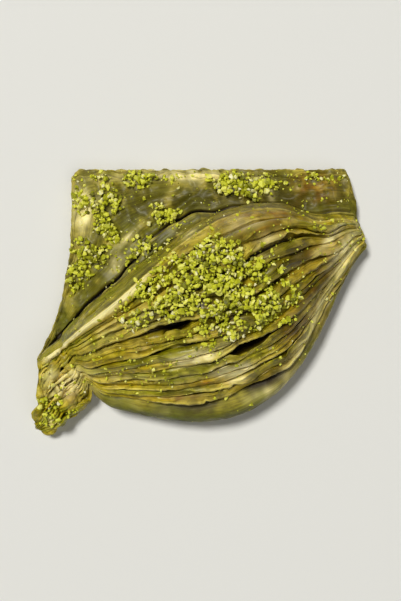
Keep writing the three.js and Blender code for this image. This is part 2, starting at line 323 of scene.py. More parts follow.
def jag(i):
    """Ragged line of a free edge in mm: slight unevenness and a few torn nicks."""
    r = np.random.default_rng(300 + i)
    line = 0.050 * wig(320 + i, 2.0, 5.0) + 0.022 * wig(350 + i, 0.9, 1.8)
    for _ in range(r.integers(1, 4)):
        at, deep, wide = r.uniform(6, 68), r.uniform(0.2, 0.6), r.uniform(0.5, 1.1)
        line = line - deep * np.exp(-np.abs((U - at) / wide) ** 1.4)
    return line


def strength(i, base, s0, s1):
    """How strong an edge is along its length, 0 to about 1.2."""
    m = base * (0.88 + 0.30 * wig(400 + i, 10, 34))
    m = m * smooth(S, s0 - 0.07, s0 + 0.09) * (1 - smooth(S, s1 - 0.09, s1 + 0.07))
    if i < 10:
        m = m * (0.70 + 0.30 * smooth(S, 0.28, 0.55))
    if i >= 40:
        m = m * (0.50 + 0.50 * smooth(S, 0.18, 0.42))
    return np.clip(m, 0.03, 1.25)


def opening(i, table):
    w, d = Z0.copy(), Z0.copy()
    for j, at, half, wide, deep in table:
        if j == i:
            w = w + wide * np.exp(-np.abs((S - at) / half) ** 3)
            d = d + deep * np.exp(-np.abs((S - at) / half) ** 3)
    return w, d


def edge_info(i, edge, table, side):
    t0, base, s0, s1 = edge
    t = led(t0) + wander(i + side, t0)
    m = strength(i + side, base, s0, s1)
    wide, deep = opening(i, table)
    _, _, g = dome_frame(S, np.clip(t, 0.01, 0.99))
    for j, mm in SPREAD[side]:
        if j == i:
            at, half = (0.574, 0.062) if j in (5, 6, 7) else (0.406, 0.045)
            t = t + mm / g * np.exp(-np.abs((S - at) / half) ** 3)
    return t, m, wide, deep, g


def band(b, inner, outer, rolled, first, seed):
    """One leaf of the dome. inner is the edge that it comes up from, outer its own free
    edge, which lies nearer to the rim."""
    t0, m0, w0, d0, g0 = inner
    t1, m1, w1, d1, g1 = outer
    way = -1.0
    L = np.abs(t1 - t0) * 0.5 * (g0 + g1)                 # the leaf's width in mm
    tint = np.clip(0.5 + 0.32 * math.sin(2.4 * b + seed * 0.01) + 0.20 * wig(seed + 1 + b, 10, 34), 0, 1)
    step = np.minimum((0.16 + 1.20 * m1) * grow, 0.50 * L + 0.1)
    slitw = np.minimum(np.minimum(0.20 + 0.55 * m0, 0.42 * L) + w0, 0.64 * L)
    depth = np.minimum(0.15 + 1.70 * m0 + d0, 0.95 * L + 0.2 + d0) * grow
    if first:
        slitw, depth = 0.05 * ONE, 0.02 * ONE
    thick = 0.26 + 0.16 * m1
    curl = 0.32 * np.maximum(0, wig(seed + 40 + b, 9, 24)) * m1 * fade
    line = jag(b + seed // 100) * (0.25 + 0.75 * fade) * np.minimum(1, L / 1.6)
    # two plies end a little before the free edge: small steps in the leaf's face
    back1 = np.clip(0.95 + 0.45 * wig(seed + 60 + b, 6, 20), 0.5, 0.40 * L + 0.2)
    back2 = np.clip(back1 + 0.70 + 0.40 * wig(seed + 80 + b, 6, 20), back1 + 0.25, np.maximum(back1 + 0.25, 0.70 * L))
    ply1 = 0.19 * np.clip(0.6 + 0.7 * wig(seed + 100 + b, 8, 22), 0, 1.5) * np.minimum(1, L / 2.2) * grow
    ply2 = 0.17 * np.clip(0.5 + 0.8 * wig(seed + 120 + b, 8, 22), 0, 1.5) * np.minimum(1, L / 2.2) * grow
    fat = (0.14 + 0.09 * math.sin(1.7 * b + seed)) * L * (0.4 + 0.6 * fade)   # crown of the leaf
    if rolled:                         # the rolled rim is one smooth, thick fold
        fat, step = 0.24 * L, 0.45 * step
        ply1, ply2, line = 0.25 * ply1, 0.25 * ply2, 0.4 * line
    frac = lambda mm: np.clip(1 - mm / np.maximum(L, 0.2), 0.12, 0.97)
    face = lambda f: step * f ** 1.5 + fat * np.sin(math.pi * np.clip(f, 0, 1) ** 0.9)
    at = lambda f: t0 + (t1 - t0) * f
    f2, f1 = frac(back2), frac(back1)
    low = np.minimum(1, slitw / np.maximum(L, 0.2) + 0.10)
    f_lo = low + (f2 - low) * 0.30
    f_mid = low + (f2 - low) * 0.68
    m0c, m1c = np.minimum(1, m0 + 0.15), np.minimum(1, m1 + 0.2)
    inside = np.clip((d0 - 1.2) / 1.6, 0, 1)
    pts = []
    add = lambda t, h, e, sl: pts.append((t, h, e, sl, tint))
    # the opening at the inner edge, with painted shade at its bottom
    if not first:
        add(t0 + way * 0.40 * slitw / g0, -depth, 0.0, m0c + inside)
        add(t0 + way * slitw / g0, -0.14 * depth, 0.0, 0.30 * m0c + 1.45 * inside)
    add(at(f_lo), face(f_lo) * 0.9, 0.0, 0.30 * m0c)
    add(at(f_mid), face(f_mid) + 0.4 * ply2, 0.02, 0.0)
    add(at(f2 - 0.02), face(f2) + ply2, 0.35 * ply2 / 0.17, 0.0)
    add(at(f2 + 0.02), face(f2), 0.05, 0.35 * np.minimum(1, ply2 / 0.17))
    add(at(f1 - 0.02), face(f1) + ply1, 0.45 * ply1 / 0.19, 0.0)
    add(at(f1 + 0.02), face(f1), 0.30, 0.25 * np.minimum(1, ply1 / 0.19))
    add(t1 + way * (line - 0.30) / g1, step * 0.97 + curl * 0.6, 0.90 * m1c, 0.0)
    add(t1 + way * (line + 0.05) / g1, step + curl - 0.25 * thick, m1c, 0.0)
    add(t1 + way * (line - 0.12) / g1, step + curl - thick, 0.4, 0.5 * m1c)
    for t, h, e, sl, ti in reversed(pts):
        put_dome(t, h, edge=e, slit=sl, tint=ti)


rim_info = [edge_info(i, e, SLITS, 0) for i, e in enumerate(RIM_EDGES)]
ridge_info = [edge_info(i, e, RIDGE_SLITS, 40) for i, e in enumerate(RIDGE_EDGES)]
for b in range(1, len(RIM_EDGES)):
    band(b, rim_info[b], rim_info[b - 1], b == 1, False, 1000)
# the valley between the two innermost leaves, with painted shade in it
t0, m0, w0, d0, g0 = ridge_info[0]
put_dome(0.5 * (t0 + rim_info[-1][0]), -(0.3 + 1.2 * m0 + d0) * grow,
         slit=0.9 + np.clip((d0 - 1.2) / 1.4, 0, 1), tint=0.5)
for b in range(1, len(RIDGE_EDGES)):
    band(b, ridge_info[b], ridge_info[b - 1], False, b == len(RIDGE_EDGES) - 1, 2000)

# --- the ridge fold and the wall below it
wall_top = dome_height(S, ONE)
flap_dir = flap - ridge
flap_w = np.maximum(np.linalg.norm(flap_dir, axis=1), 1e-6)
flap_dir = flap_dir / flap_w[:, None]
shift = np.minimum(1.1 + 2.3 * bell(S, 0.30, 0.19), 0.36 * flap_w)
skirt_w = np.minimum(0.62 * flap_w, shift + 0.55 + 3.3 * bell(S, 0.52, 0.125)
                     + 0.22 * wig(700, 6, 18) * hump(S, 1))
skirt_rise = 0.5 * hump(S, 0.6) + 1.5 * bell(S, 0.54, 0.16)


def out(d):
    return ridge + flap_dir * np.broadcast_to(d, (N,))[:, None]


RIDGE_COLS = (len(cols), len(cols) + 1, len(cols) + 2)
put(out(-0.30), wall_top + 0.36, edge=0.65, tint=0.7)
put(out(-0.02), wall_top + 0.26, edge=1.0, tint=0.7)
put(out(0.16 * ONE), wall_top - 0.12, edge=0.8, tint=0.6)
foot_z = FLAP_THICK + skirt_rise
WALL = 5
for i in range(WALL):
    f0, f1 = i / WALL, (i + 1) / WALL
    tall = np.maximum(wall_top - 0.3 - foot_z, 0.05)
    strong = np.clip(0.7 + 0.5 * wig(710 + i, 8, 26), 0.1, 1.3) * np.minimum(1, tall / 5)
    wob = 0.03 * wig(720 + i, 10, 30) * tall
    tint = 0.35 + 0.1 * wig(730 + i, 9, 28)
    # a leaf hangs over the next one below: it stands out at its lower edge
    for f, r, edge, slit in ((0.12, 0.0, 0.0, 0.7 if i == 0 else 0.35), (0.60, 0.22, 0.1, 0.0), (0.93, 0.42, 0.7, 0.0),
                             (1.0, -0.02, 0.0, 0.9)):
        ff = f0 + (f1 - f0) * f
        z = wall_top - 0.3 - tall * ff - (wob * math.sin(math.pi * ff))
        bow = 0.75 * np.sin(np.pi * ff) * np.minimum(1, tall / 6)
        d = 0.25 + (shift - 0.25) * ff + bow + r * strong
        put(out(d), z, edge=edge * np.minimum(1, strong), slit=slit * np.minimum(1, strong), tint=tint, zone=1)

# --- skirt leaf at the ridge's foot
skirt_step = 1.5 * bell(S, 0.55, 0.22) + 0.15
shift2 = shift + 0.2
foot_groove = 1.1 * bell(S, 0.445, 0.065)
for f in (0.0, 0.10, 0.30, 0.50, 0.70, 0.90):
    d = shift2 + (skirt_w - 0.2 - shift2) * f
    z = FLAP_THICK + skirt_rise * (1 - f) ** 1.4 + skirt_step * (0.15 + 0.55 * f) \
        + 0.18 * wig(740 + int(10 * f), 5, 14) * hump(S, 0.7) * math.sin(math.pi * (0.2 + 0.6 * f)) \
        - 1.5 * foot_groove * (1.0 if f == 0 else 0.75 if f == 0.10 else 0.0)
    put(out(d), z, edge=0.3 * f, slit=(0.6 if f == 0 else 0.0) + 0.9 * foot_groove * (f < 0.2), tint=0.45, zone=2)
rag = jag(90) * 0.5 * hump(S, 0.5)
put(out(skirt_w + 0.02 + rag), FLAP_THICK + 0.72 * skirt_step, edge=0.8, tint=0.5, zone=2)
put(out(skirt_w + 0.12 + rag), FLAP_THICK + 0.60 * skirt_step - 0.12, edge=0.7, tint=0.5, zone=2)
put(out(skirt_w - 0.15 + rag), FLAP_THICK - 0.45 + 0.25 * skirt_step, slit=0.8, tint=0.5, zone=2)
# a groove runs along the skirt's edge, with painted shade in it
groove = np.clip(0.12 + 1.2 * smooth(S, 0.0, 0.06) * (1 - smooth(S, 0.34, 0.44)) + 1.2 * bell(S, 0.585, 0.085), 0, 1.25) \
    * np.minimum(1, flap_w / 9)
lane = 0.25 + 0.65 * np.minimum(1, flap_w / 12)      # its width
put(out(skirt_w + 0.28), FLAP_THICK - 0.6 - 1.3 * groove, slit=0.35 + 1.5 * np.minimum(1, groove), tint=0.5, zone=2)
put(out(skirt_w + 0.28 + 0.45 * (lane - 0.25)), FLAP_THICK - 0.6 - 1.1 * groove, slit=0.25 + 1.4 * np.minimum(1, groove), tint=0.5, zone=2)
put(out(skirt_w + lane), FLAP_THICK - 0.5, slit=0.25, edge=0.15, tint=0.5, zone=2)

# --- the flap's top
# folds of its top sheet: from, to, height, half width (a hollow has a negative height)
FOLDS = [((-17.3, 11.4), (-13.7, 15.2), 0.75, 0.60), ((-13.6, 13.1), (-12.2, 14.2), -1.5, 0.75),
         ((-24.5, 3.5), (-15.5, 14.0), 0.32, 0.8), ((-20.0, 16.5), (-10.0, 24.6), 0.35, 0.9),
         ((-26.0, 12.0), (-20.5, 22.0), 0.38, 0.8), ((-9.5, 19.2), (3.0, 24.6), 0.34, 0.8),
         ((-25.5, 24.0), (-16.0, 26.2), -0.35, 0.7), ((-3.0, 26.6), (12.0, 25.4), -0.40, 0.8),
         ((6.0, 22.2), (18.0, 23.6), 0.36, 0.9), ((17.0, 20.6), (29.0, 24.4), 0.42, 0.8),
         ((19.5, 25.6), (29.5, 26.4), -0.34, 0.7), ((24.0, 19.0), (30.5, 20.6), -0.45, 0.6),
         ((-30.5, 1.0), (-24.5, 11.0), 0.30, 0.7), ((-13.0, 20.4), (-4.0, 22.6), -0.35, 0.6),
         ((11.5, 25.9), (14.5, 22.2), 0.30, 0.6), ((-22.0, 8.2), (-18.6, 14.6), -0.38, 0.5)]


def folds(q):
    total = np.zeros(len(q))
    for a, b, high, half in FOLDS:
        a, b = np.array(a), np.array(b)
        ab = b - a
        f = np.clip(((q - a) @ ab) / (ab @ ab), -0.2, 1.2)
        near = a + ab * f[:, None]
        n2 = np.array([-ab[1], ab[0]]) / np.linalg.norm(ab)
        bend = 0.06 * np.linalg.norm(ab) * np.sin(math.pi * np.clip(f, 0, 1))
        d = np.abs((q - near) @ n2 - bend) + 0.0
        beyond = np.maximum(np.maximum(-f, f - 1), 0) * np.linalg.norm(ab)
        total += high * np.exp(-(d / half) ** 2 - (beyond / 1.2) ** 2) \
            * np.clip(np.sin(math.pi * np.clip(f, 0.06, 0.94)) * 2.2, 0, 1)
    return total


flap_wrinkle = Waves(750, 4.0, 13.0, 2)
flap_fine = Waves(751, 1.6, 4.0, 2)
flap_crease = Waves(752, 7.0, 16.0, 2)
flap_crease2 = Waves(753, 4.0, 9.0, 2)
flap_span = flap_w - skirt_w - lane
edge_a = np.clip(0.9 + 0.45 * wig(745, 5, 16), 0.35, 2.0)      # two sheets end short of the cut
edge_b = edge_a + np.clip(1.1 + 0.6 * wig(746, 6, 18), 0.4, 2.6)
ply_a = 0.24 * np.clip(0.7 + 0.6 * wig(747, 6, 18), 0, 1.4)
ply_b = 0.20 * np.clip(0.6 + 0.7 * wig(748, 6, 18), 0, 1.4)
line_a = jag(91) * 1.2
line_b = jag(92) * 1.2
flap_cols = [(f * ONE, 0.0, 0.0) for f in np.linspace(0.03, 0.80, 30)]
at_b = np.maximum(1 - (edge_b - line_b) / flap_span, 0.80)
at_a = np.maximum(1 - (edge_a - line_a) / flap_span, at_b + 0.02)
BASE = len(flap_cols)
flap_cols += [(0.5 * (0.80 + at_b), 0.7, 0.0), (at_b - 0.06 / flap_span, 1.0, 0.5), (at_b + 0.06 / flap_span, 0.0, -0.4),
              (0.5 * (at_a + at_b), 0.3, 0.0), (at_a - 0.06 / flap_span, 1.5, 0.6), (at_a + 0.06 / flap_span, 0.0, -0.4),
              (np.maximum(0.985, at_a + 0.1 / flap_span), 0.0, 0.6)]
for number, (f, lift, mark) in enumerate(flap_cols):
    d = skirt_w + lane + flap_span * f
    p = out(d)
    wav = 0.24 * flap_wrinkle(p[:, 0], p[:, 1]) + folds(p)
    # creases: sharp narrow ridges where a soft field changes sign
    for field, high, sharp in ((flap_crease, 0.26, 0.16), (flap_crease2, 0.17, 0.20)):
        wav = wav + high * np.exp(-np.abs(field(p[:, 0], p[:, 1])) / sharp)
    wav = wav + 0.05 * flap_fine(p[:, 0], p[:, 1])
    z = FLAP_THICK - 0.4 + (FLAP_THICK_OUT - FLAP_THICK + 0.4) * f + wav * smooth(f, 0.0, 0.15) \
        + 0.35 * np.sin(9 * S + 6 * f) * f
    if number < BASE + 3:
        z = z + lift * ply_b * (1 if number < BASE + 2 else 0)
    if number >= BASE + 3:
        z = z + (lift / 1.5) * ply_a
    put(p, z, edge=max(0.0, mark), slit=max(0.0, -mark), tint=0.4 + 0.3 * f, zone=2)
top_out = z
# --- cut edge of the flap: plies
cut_dir = flap_dir
PLIES = 7
for i in range(PLIES):
    strong = np.clip(0.75 + 0.5 * wig(760 + i, 4, 15), 0.12, 1.35) * (0.15 + 0.85 * smooth(S, 0.01, 0.10))
    z1, z0 = top_out * (1 - i / PLIES), top_out * (1 - (i + 1) / PLIES)
    wob = (0.22 * wig(770 + i, 3, 9) * (0.5 + 0.5 * (i > 0)) + 0.05 * wig(780 + i, 0.9, 2.2)) * (0.2 + 0.8 * smooth(S, 0.01, 0.10))
    tint = 0.45 + 0.2 * wig(790 + i, 6, 20)
    for f, r, edge, slit in ((0.10, 0.02, 0.8, 0.0), (0.40, 0.12, 0.9, 0.0), (0.78, 0.05, 0.5, 0.0),
                             (1.0, -0.30, 0.0, 1.0)):
        if i == PLIES - 1 and f == 1.0:
            continue
        z = z1 + (z0 - z1) * f + 0.05 * wig(800 + i, 5, 12)
        inset = -0.15 - 0.5 * max(0.0, (i + f - 5) / 3)
        put(flap + cut_dir * (inset + r * strong + wob)[:, None], np.maximum(z, 0.04),
            edge=edge, slit=slit * np.minimum(1, strong), tint=tint, zone=2.5)

# ------------------------------------------------------------------ grid of points
K = len(cols)
G = np.zeros((N, K, 3))
A = {a: np.zeros((N, K)) for a in ("edge", "slit", "tint", "zone")}
dome_k = [k for k, c in enumerate(cols) if c["kind"] == "dome"]
T = np.stack([cols[k]["t"] for k in dome_k], 1)
across_t = np.full((N, K), 1.2)
across_t[:, :dome_k[0]] = -0.2
across_t[:, dome_k] = T
H = np.stack([cols[k]["h"] for k in dome_k], 1)
p, n, _ = dome_frame(np.broadcast_to(S[:, None], T.shape), np.clip(T, 0.0, 1.0))
G[:, dome_k] = p + n * H[..., None]
for k, c in enumerate(cols):
    if c["kind"] == "xyz":
        G[:, k] = c["p"]
    for a in A:
        A[a][:, k] = c[a]

# ------------------------------------------------------------------ caps
def knob_row(base, c):
    r = (1 - (1 - c) ** 2.4) ** (1 / 2.4)
    low = rim_off(np.array(0.0))
    high = (FLAP_FOOT - TIP_A) @ ACROSS
    rel = base[:, :2] - TIP_A
    u, v = rel @ ALONG, rel @ ACROSS
    side = np.clip((v - low) / (high - low), 0, 1)
    opened = r * (1 - side) + (0.25 * r + 0.75 * c) * side
    at = on_axis((u * c - KNOB_REACH * (1 - c)) / LENGTH, -KNOB_SIDE + (v + KNOB_SIDE) * opened)
    at = at + KNOB_BEND * (1 - c) ** 0.9
    z = np.where(base[:, 2] > 0.01, KNOB_END_HEIGHT + (base[:, 2] - KNOB_END_HEIGHT) * r, 0.0)
    return np.concatenate([at, z[:, None]], 1)


KNOB_ROWS = 28
FAN_ROWS = 9
front = []
soft = G[0].copy()
soft[dome_k] = p[0] + n[0] * 0.12
side = np.arange(dome_k[-1] + 4, K)                    # wall, flap and cut edge, without plies
for _ in range(30):
    soft[side[1:-1]] = 0.5 * soft[side[1:-1]] + 0.25 * (soft[side[:-2]] + soft[side[2:]])
gathered = smooth((np.arange(1, KNOB_ROWS) / KNOB_ROWS) ** 1.25, 0.62, 1.02)
for row in range(1, KNOB_ROWS):
    base = soft + (G[0] - soft) * gathered[row - 1]
    front.append(knob_row(base, (row / KNOB_ROWS) ** 1.25))
end_dir = np.array([0.973, 0.2306])
back = []
end_ply = Waves(830, 0.8, 1.9, 2)
end_ply2 = Waves(831, 2.0, 7.0, 2)
for row in range(1, FAN_ROWS):
    f = row / FAN_ROWS
    shrink = (1 - f ** 1.5) * 0.985
    ring = np.empty_like(G[-1])
    ring[:, :2] = FAN_END + (G[-1][:, :2] - FAN_END) * shrink
    ring[:, 2] = FAN_END_HEIGHT + (G[-1][:, 2] - FAN_END_HEIGHT) * shrink
    across = (ring[:, :2] - FAN_END) @ np.array([-0.2306, 0.973])
    push = 0.32 * (1 - (1 - min(1, f * 3)) ** 2) + 0.22 * end_ply(across * 0.10, ring[:, 2]) * min(1, f * 4) \
        + 0.15 * end_ply2(across, ring[:, 2]) * min(1, f * 4)
    ring[:, :2] += end_dir * push[:, None]
    back.append(ring)
grid = np.concatenate([np.array(front), G, np.array(back)], 0)
attr = {a: np.concatenate([A[a][:1] * (gathered[:, None] if a in ("edge", "slit") else np.ones((KNOB_ROWS - 1, 1))), A[a],
                           np.repeat(A[a][-1:], FAN_ROWS - 1, 0)], 0) for a in A}
u_mm = np.concatenate([-KNOB_REACH * (1 - (np.arange(1, KNOB_ROWS) / KNOB_ROWS)), U,
                       LENGTH + np.linspace(0.5, 8, FAN_ROWS - 1)])
R = grid.shape[0]
pole_a = np.append(on_axis(np.array(-KNOB_REACH / LENGTH), np.array(-KNOB_SIDE)) + KNOB_BEND, KNOB_END_HEIGHT)
pole_b = np.append(FAN_END + end_dir * 0.4, FAN_END_HEIGHT)

# lumps of the knob, made where the leaves are gathered
lump = Waves(840, 4.0, 8.0, 3)
fine = Waves(841, 1.4, 3.4, 3)
fold = Waves(842, 6.0, 11.0, 3)
x3, y3, z3 = grid[..., 0], grid[..., 1], grid[..., 2]
along_mm = (x3 - TIP_A[0]) * ALONG[0] + (y3 - TIP_A[1]) * ALONG[1]
knob = smooth(-along_mm, -9.0, -4.0)
above = smooth(z3, 0.3, 2.5)


def grid_normals(g):
    du = np.gradient(g, axis=0)
    dv = np.roll(g, -1, 1) - np.roll(g, 1, 1)
    m = np.cross(du, dv)
    m /= np.maximum(np.linalg.norm(m, axis=-1), 1e-9)[..., None]
    return m


nrm = grid_normals(grid)
c = grid.mean(axis=(0, 1))
if np.sum((grid[R // 2] - grid[R // 2].mean(0)) * nrm[R // 2]) < 0:
    nrm = -nrm
move = 0.70 * knob * lump(x3, y3, z3) + fine(x3, y3, z3) * (0.035 + 0.10 * knob)
move = move - 0.45 * knob * np.exp(-np.abs(fold(x3, y3, z3)) / 0.22)
calm = np.ones(K)
calm[dome_k[-1] + 4:] = 0.15                          # the knob's far side
move = move * (1 - knob * (1 - calm))
grid = grid + nrm * (move * above)[..., None]
# lumps on the knob's outer side stay shallow
beyond = np.minimum(grid[..., 0] + 34.3, 0) * smooth(grid[..., 1], -24.5, -22.0) * (1 - smooth(grid[..., 1], -15.0, -12.5))
grid[..., 0] -= 0.8 * beyond
grid[..., 2] = np.where(attr["zone"] >= 2.99, 0.0, np.maximum(grid[..., 2], 0.03))

# ------------------------------------------------------------------ mesh
def make_mesh(name, verts_mm, faces, smooth_shade=True):
    v = np.array(verts_mm, float)
    v[:, :2] += SHIFT
    mesh = bpy.data.meshes.new(name)
    mesh.from_pydata((v * 0.001).tolist(), [], faces)
    mesh.update()
    if smooth_shade:
        mesh.polygons.foreach_set("use_smooth", [True] * len(mesh.polygons))
    obj = bpy.data.objects.new(name, mesh)
    bpy.context.scene.collection.objects.link(obj)
    return obj


def volume(verts, tris):
    a, b, c3 = verts[tris[:, 0]], verts[tris[:, 1]], verts[tris[:, 2]]
    return float(np.sum(a * np.cross(b, c3)) / 6)


verts = np.concatenate([pole_a[None], grid.reshape(-1, 3), pole_b[None]], 0)
idx = 1 + np.arange(R * K).reshape(R, K)
nxt = np.roll(idx, -1, 1)
quads = np.stack([idx[:-1], nxt[:-1], nxt[1:], idx[1:]], -1).reshape(-1, 4)
last = 1 + R * K
tri_a = np.stack([np.zeros(K, int), nxt[0], idx[0]], -1)
tri_b = np.stack([idx[-1], nxt[-1], np.full(K, last)], -1)
split = np.concatenate([quads[:, [0, 1, 2]], quads[:, [0, 2, 3]], tri_a, tri_b])
flip = volume(verts, split) < 0
if flip:
    quads, tri_a, tri_b = quads[:, ::-1], tri_a[:, ::-1], tri_b[:, ::-1]
faces = quads.tolist() + tri_a.tolist() + tri_b.tolist()
pastry = make_mesh("phyllo_pastry", verts, faces)
mesh = pastry.data

# per-point facts for the materials
px, py, pz = verts[:, 0], verts[:, 1], verts[:, 2]


def per_point(name, rows):
    values = np.concatenate([[rows[0].mean()], rows.reshape(-1), [rows[-1].mean()]])
    layer = mesh.attributes.new(name, "FLOAT", "POINT")
    layer.data.foreach_set("value", values.astype(np.float32))
    return values


facts = {a: per_point(a, attr[a]) for a in ("edge", "slit", "tint")}
flapness = np.where((attr["zone"] > 1.5) & (attr["zone"] < 2.9), 1.0, 0.0)
per_point("flap", flapness)


def blob(x0, y0, rx, ry=None, angle=0.0):
    ry = ry or rx
    ca, sa = math.cos(math.radians(angle)), math.sin(math.radians(angle))
    dx, dy = px - x0, py - y0
    return np.exp(-((dx * ca + dy * sa) / rx) ** 2 - ((-dx * sa + dy * ca) / ry) ** 2)


def along(points, width):
    """Nearness to a run of straight lines in plan."""
    best = np.full(len(px), 1e9)
    for (ax, ay), (bx, by) in zip(points[:-1], points[1:]):
        ux, uy = bx - ax, by - ay
        k = np.clip(((px - ax) * ux + (py - ay) * uy) / (ux * ux + uy * uy), 0, 1)
        best = np.minimum(best, np.hypot(px - ax - k * ux, py - ay - k * uy))
    return np.exp(-(best / width) ** 2)


near_s = np.concatenate([[0], np.repeat(np.clip(u_mm / LENGTH, -0.1, 1.1), K), [1]])
col_no = np.concatenate([[0], np.tile(np.arange(K), R), [0]])
near_t = np.concatenate([np.repeat(across_t[:1], KNOB_ROWS - 1, 0), across_t,
                         np.repeat(across_t[-1:], FAN_ROWS - 1, 0)], 0).reshape(-1)
near_t = np.concatenate([[near_t[0]], near_t, [near_t[-1]]])
rim_line = np.interp(near_s, S, LINE_RIM)
on_lip = np.maximum(smooth(near_t, 0.956, 0.974) * (near_t < 1.1), np.isin(col_no, RIDGE_COLS[:2]))
on_rim = (1 - smooth(near_t, 0.86 * rim_line, rim_line)) * (near_t > -0.5)
is_wall = np.isin(col_no, np.arange(RIDGE_COLS[2] + 1, RIDGE_COLS[2] + 1 + 4 * WALL))
blotch = Waves(860, 2.2, 6.0, 3)(px, py, pz)
blotch2 = Waves(861, 5.0, 14.0, 3)(px, py, pz)

brown = (1.25 * blob(12.6, 15.6, 8.0, 3.2, 6) + 1.05 * blob(23.6, -0.6, 9.0, 3.4, 60)
         + 0.8 * blob(-3.0, -20.6, 7.5, 0.8, 0) + 0.7 * blob(1.0, -17.4, 6.0, 0.8, 6) + 0.6 * blob(18.1, -5.7, 2.0)
         + 0.95 * blob(25.0, 24.4, 5.0, 3.2) + 0.6 * blob(27.5, 8.0, 6.0, 2.6, 50) + 0.5 * blob(19.0, 8.5, 4.0, 2.0, 30)
         + 0.85 * blob(-28.4, -18.0, 3.2, 2.6, 20) + 0.5 * blob(-27.5, -20.8, 2.0, 1.2, 10) + 0.30 * blob(6, -16.5, 8, 1.6, 6)
         + 0.45 * blob(-4.5, 12.8, 2.8, 0.8, 40) + 0.4 * blob(-20, -13.5, 4.0, 1.0, 12) + 0.4 * blob(-13, -10.5, 4.0, 0.9, 18)
         + 0.25 * blob(5, 17.5, 4.0, 1.2, 20))
brown = brown * (1 + 0.35 * blotch)
# painted highlights and glints on the leaves, the rim, the ridge's lip, the fan, the flap's cut edge and the knob, with
# a little paler pastry
pale_and_highlight = (2.4 * blob(-0.9, -11.7, 4.4, 1.05, 13) + 3.2 * blob(6.6, -14.5, 3.4, 1.0, 10) + 1.2 * blob(8.2, -16.4, 2.4, 0.8, 20)
        + 0.7 * blob(-21.6, -20.2, 3.0, 0.6, -38) + 0.9 * blob(26.5, 12.6, 4.2, 0.8, 45) + 0.8 * blob(28.8, 9.6, 4.6, 0.7, 50)
        + 0.7 * blob(12.4, -19.8, 2.6, 1.0, 25) + 0.5 * blob(11.4, 9.2, 1.0, 0.8) + 0.5 * blob(7.0, 16.2, 2.0, 0.8, 10)
        + 1.0 * blob(-5.0, 27.1, 7.5, 1.2, -3) + 0.6 * blob(5.0, 26.9, 6.0, 0.8, -6)
        + 0.9 * blob(-15.2, 13.9, 2.9, 0.8, 44) + 1.15 * blob(-25.6, 19.0, 2.0, 4.6, -4) + 0.4 * blob(-20, 26.4, 5.0, 0.8, 2)
        + 1.5 * blob(-29.2, -17.4, 3.4, 2.8) + 0.7 * blob(-32.4, -25.8, 1.4, 1.4) + 0.5 * blob(-31.6, -20.5, 1.6, 1.2) + 0.4 * blob(31.0, 11.0, 4.0, 2.5, 50)
        + 0.7 * blob(-2.0, 13.6, 2.0, 0.8, 38) + 0.95 * blob(14.2, 23.6, 0.7, 2.8, 30) + 0.5 * blob(13.0, 12.0, 5.0, 1.1, 24)
        + 0.35 * blob(-18, 7.5, 2.2, 3.2, -20) + 0.4 * blob(9.0, 14.8, 4.5, 1.0, 12) + 0.35 * blob(28, 12, 4.5, 1.6, 38)
        + 0.4 * blob(-24.0, -15.0, 3.0, 1.6, 10) + 0.3 * blob(-14.0, -4.5, 6.0, 2.4, 32) + 0.25 * blob(-21.0, -6.5, 6.0, 2.4, 38)
        + 0.35 * blob(-16.0, -16.2, 6.0, 0.9, 2) + 0.3 * blob(3.0, -9.5, 5.0, 0.8, 14))
outer_line = along([(4.0, -23.0), (9.0, -21.7), (13.5, -19.5), (17.6, -15.7), (20.4, -11.4), (22.9, -6.5), (25.4, -1.2),
                    (27.6, 3.4), (30.0, 7.8), (32.4, 11.0)], 1.05)
inner_line = along([(14.6, -16.6), (18.2, -12.4), (20.8, -7.0), (22.8, -1.4), (25.0, 3.6), (27.6, 8.0)], 1.2)
brown = (brown + 0.5 * blob(21.5, 9.0, 6.5, 3.0, 35) + 0.3 * blob(28.0, 13.0, 4.0, 2.4, 40) + 0.5 * inner_line * (1 + 0.5 * blotch)) * (1 - 0.8 * outer_line)
# less painted shade along the rim's outer line and in two patches on the dome's left side
mesh.attributes["slit"].data.foreach_set("value", (facts["slit"] * (1 - 0.75 * outer_line)
                                  * (1 - 0.55 * np.minimum(1, blob(-19.5, -5.8, 8.0, 3.2, 36) + 0.7 * blob(-15.0, -17.5, 7.0, 2.2, 2)))).astype(np.float32))
pale_and_highlight = pale_and_highlight * (1 + 0.30 * blotch) + 0.10 * smooth(blotch2, 0.4, 1.4)
# painted highlight along the ridge's lip from the knob
pale_and_highlight = pale_and_highlight + 1.6 * on_lip * smooth(near_s, 0.0, 0.05) * (1 - smooth(near_s, 0.33, 0.47)) * (1 + 0.15 * blotch)
# painted highlight line along the rolled rim, broader on the right
left = smooth(near_s, 0.07, 0.14) * (1 - smooth(near_s, 0.46, 0.60))
right = smooth(near_s, 0.46, 0.60)
rim_mid = left * bell(near_t, 0.74 * rim_line, 0.16 * rim_line) + right * bell(near_t, 0.20 * rim_line, 0.20 * rim_line)
rim_low = on_rim * (1 - smooth(near_t, 0.10 * rim_line, 0.60 * rim_line))
pale_and_highlight = pale_and_highlight * (1 - 0.85 * on_rim * left) + rim_mid * (0.20 * left + 0.34 * right) * (1 + 0.3 * blotch)
# painted highlight along the rim's outer edge on the right
pale_and_highlight = pale_and_highlight + 0.75 * outer_line * (pz > 2.0) * (1 + 0.3 * blotch) * smooth(px, 6.0, 20.0)
upper = 0.50 + 0.50 * smooth(pz, 4.5, 8.5)
mossy = on_rim * upper * (1.0 * left + 0.65 * right) * (1 - 0.30 * rim_mid) * (1 - 0.35 * outer_line)
mossy = mossy + 0.30 * blob(-14.6, 18.4, 3.4, 2.6, 10) + 0.25 * blob(-4.0, 22.6, 7.5, 2.6, 8) + 0.45 * blob(17.5, 22.0, 3.8, 3.0, 0) \
    + 0.45 * blob(-18.0, 8.0, 3.0, 4.5, -30) + 0.35 * blob(-29.5, -3.5, 2.5, 6.0, -26) + 0.4 * blob(-9, 11.5, 3.5, 1.5, 42)
mossy = mossy + 0.22 * is_wall * (1 - smooth(near_s, 0.60, 0.75))
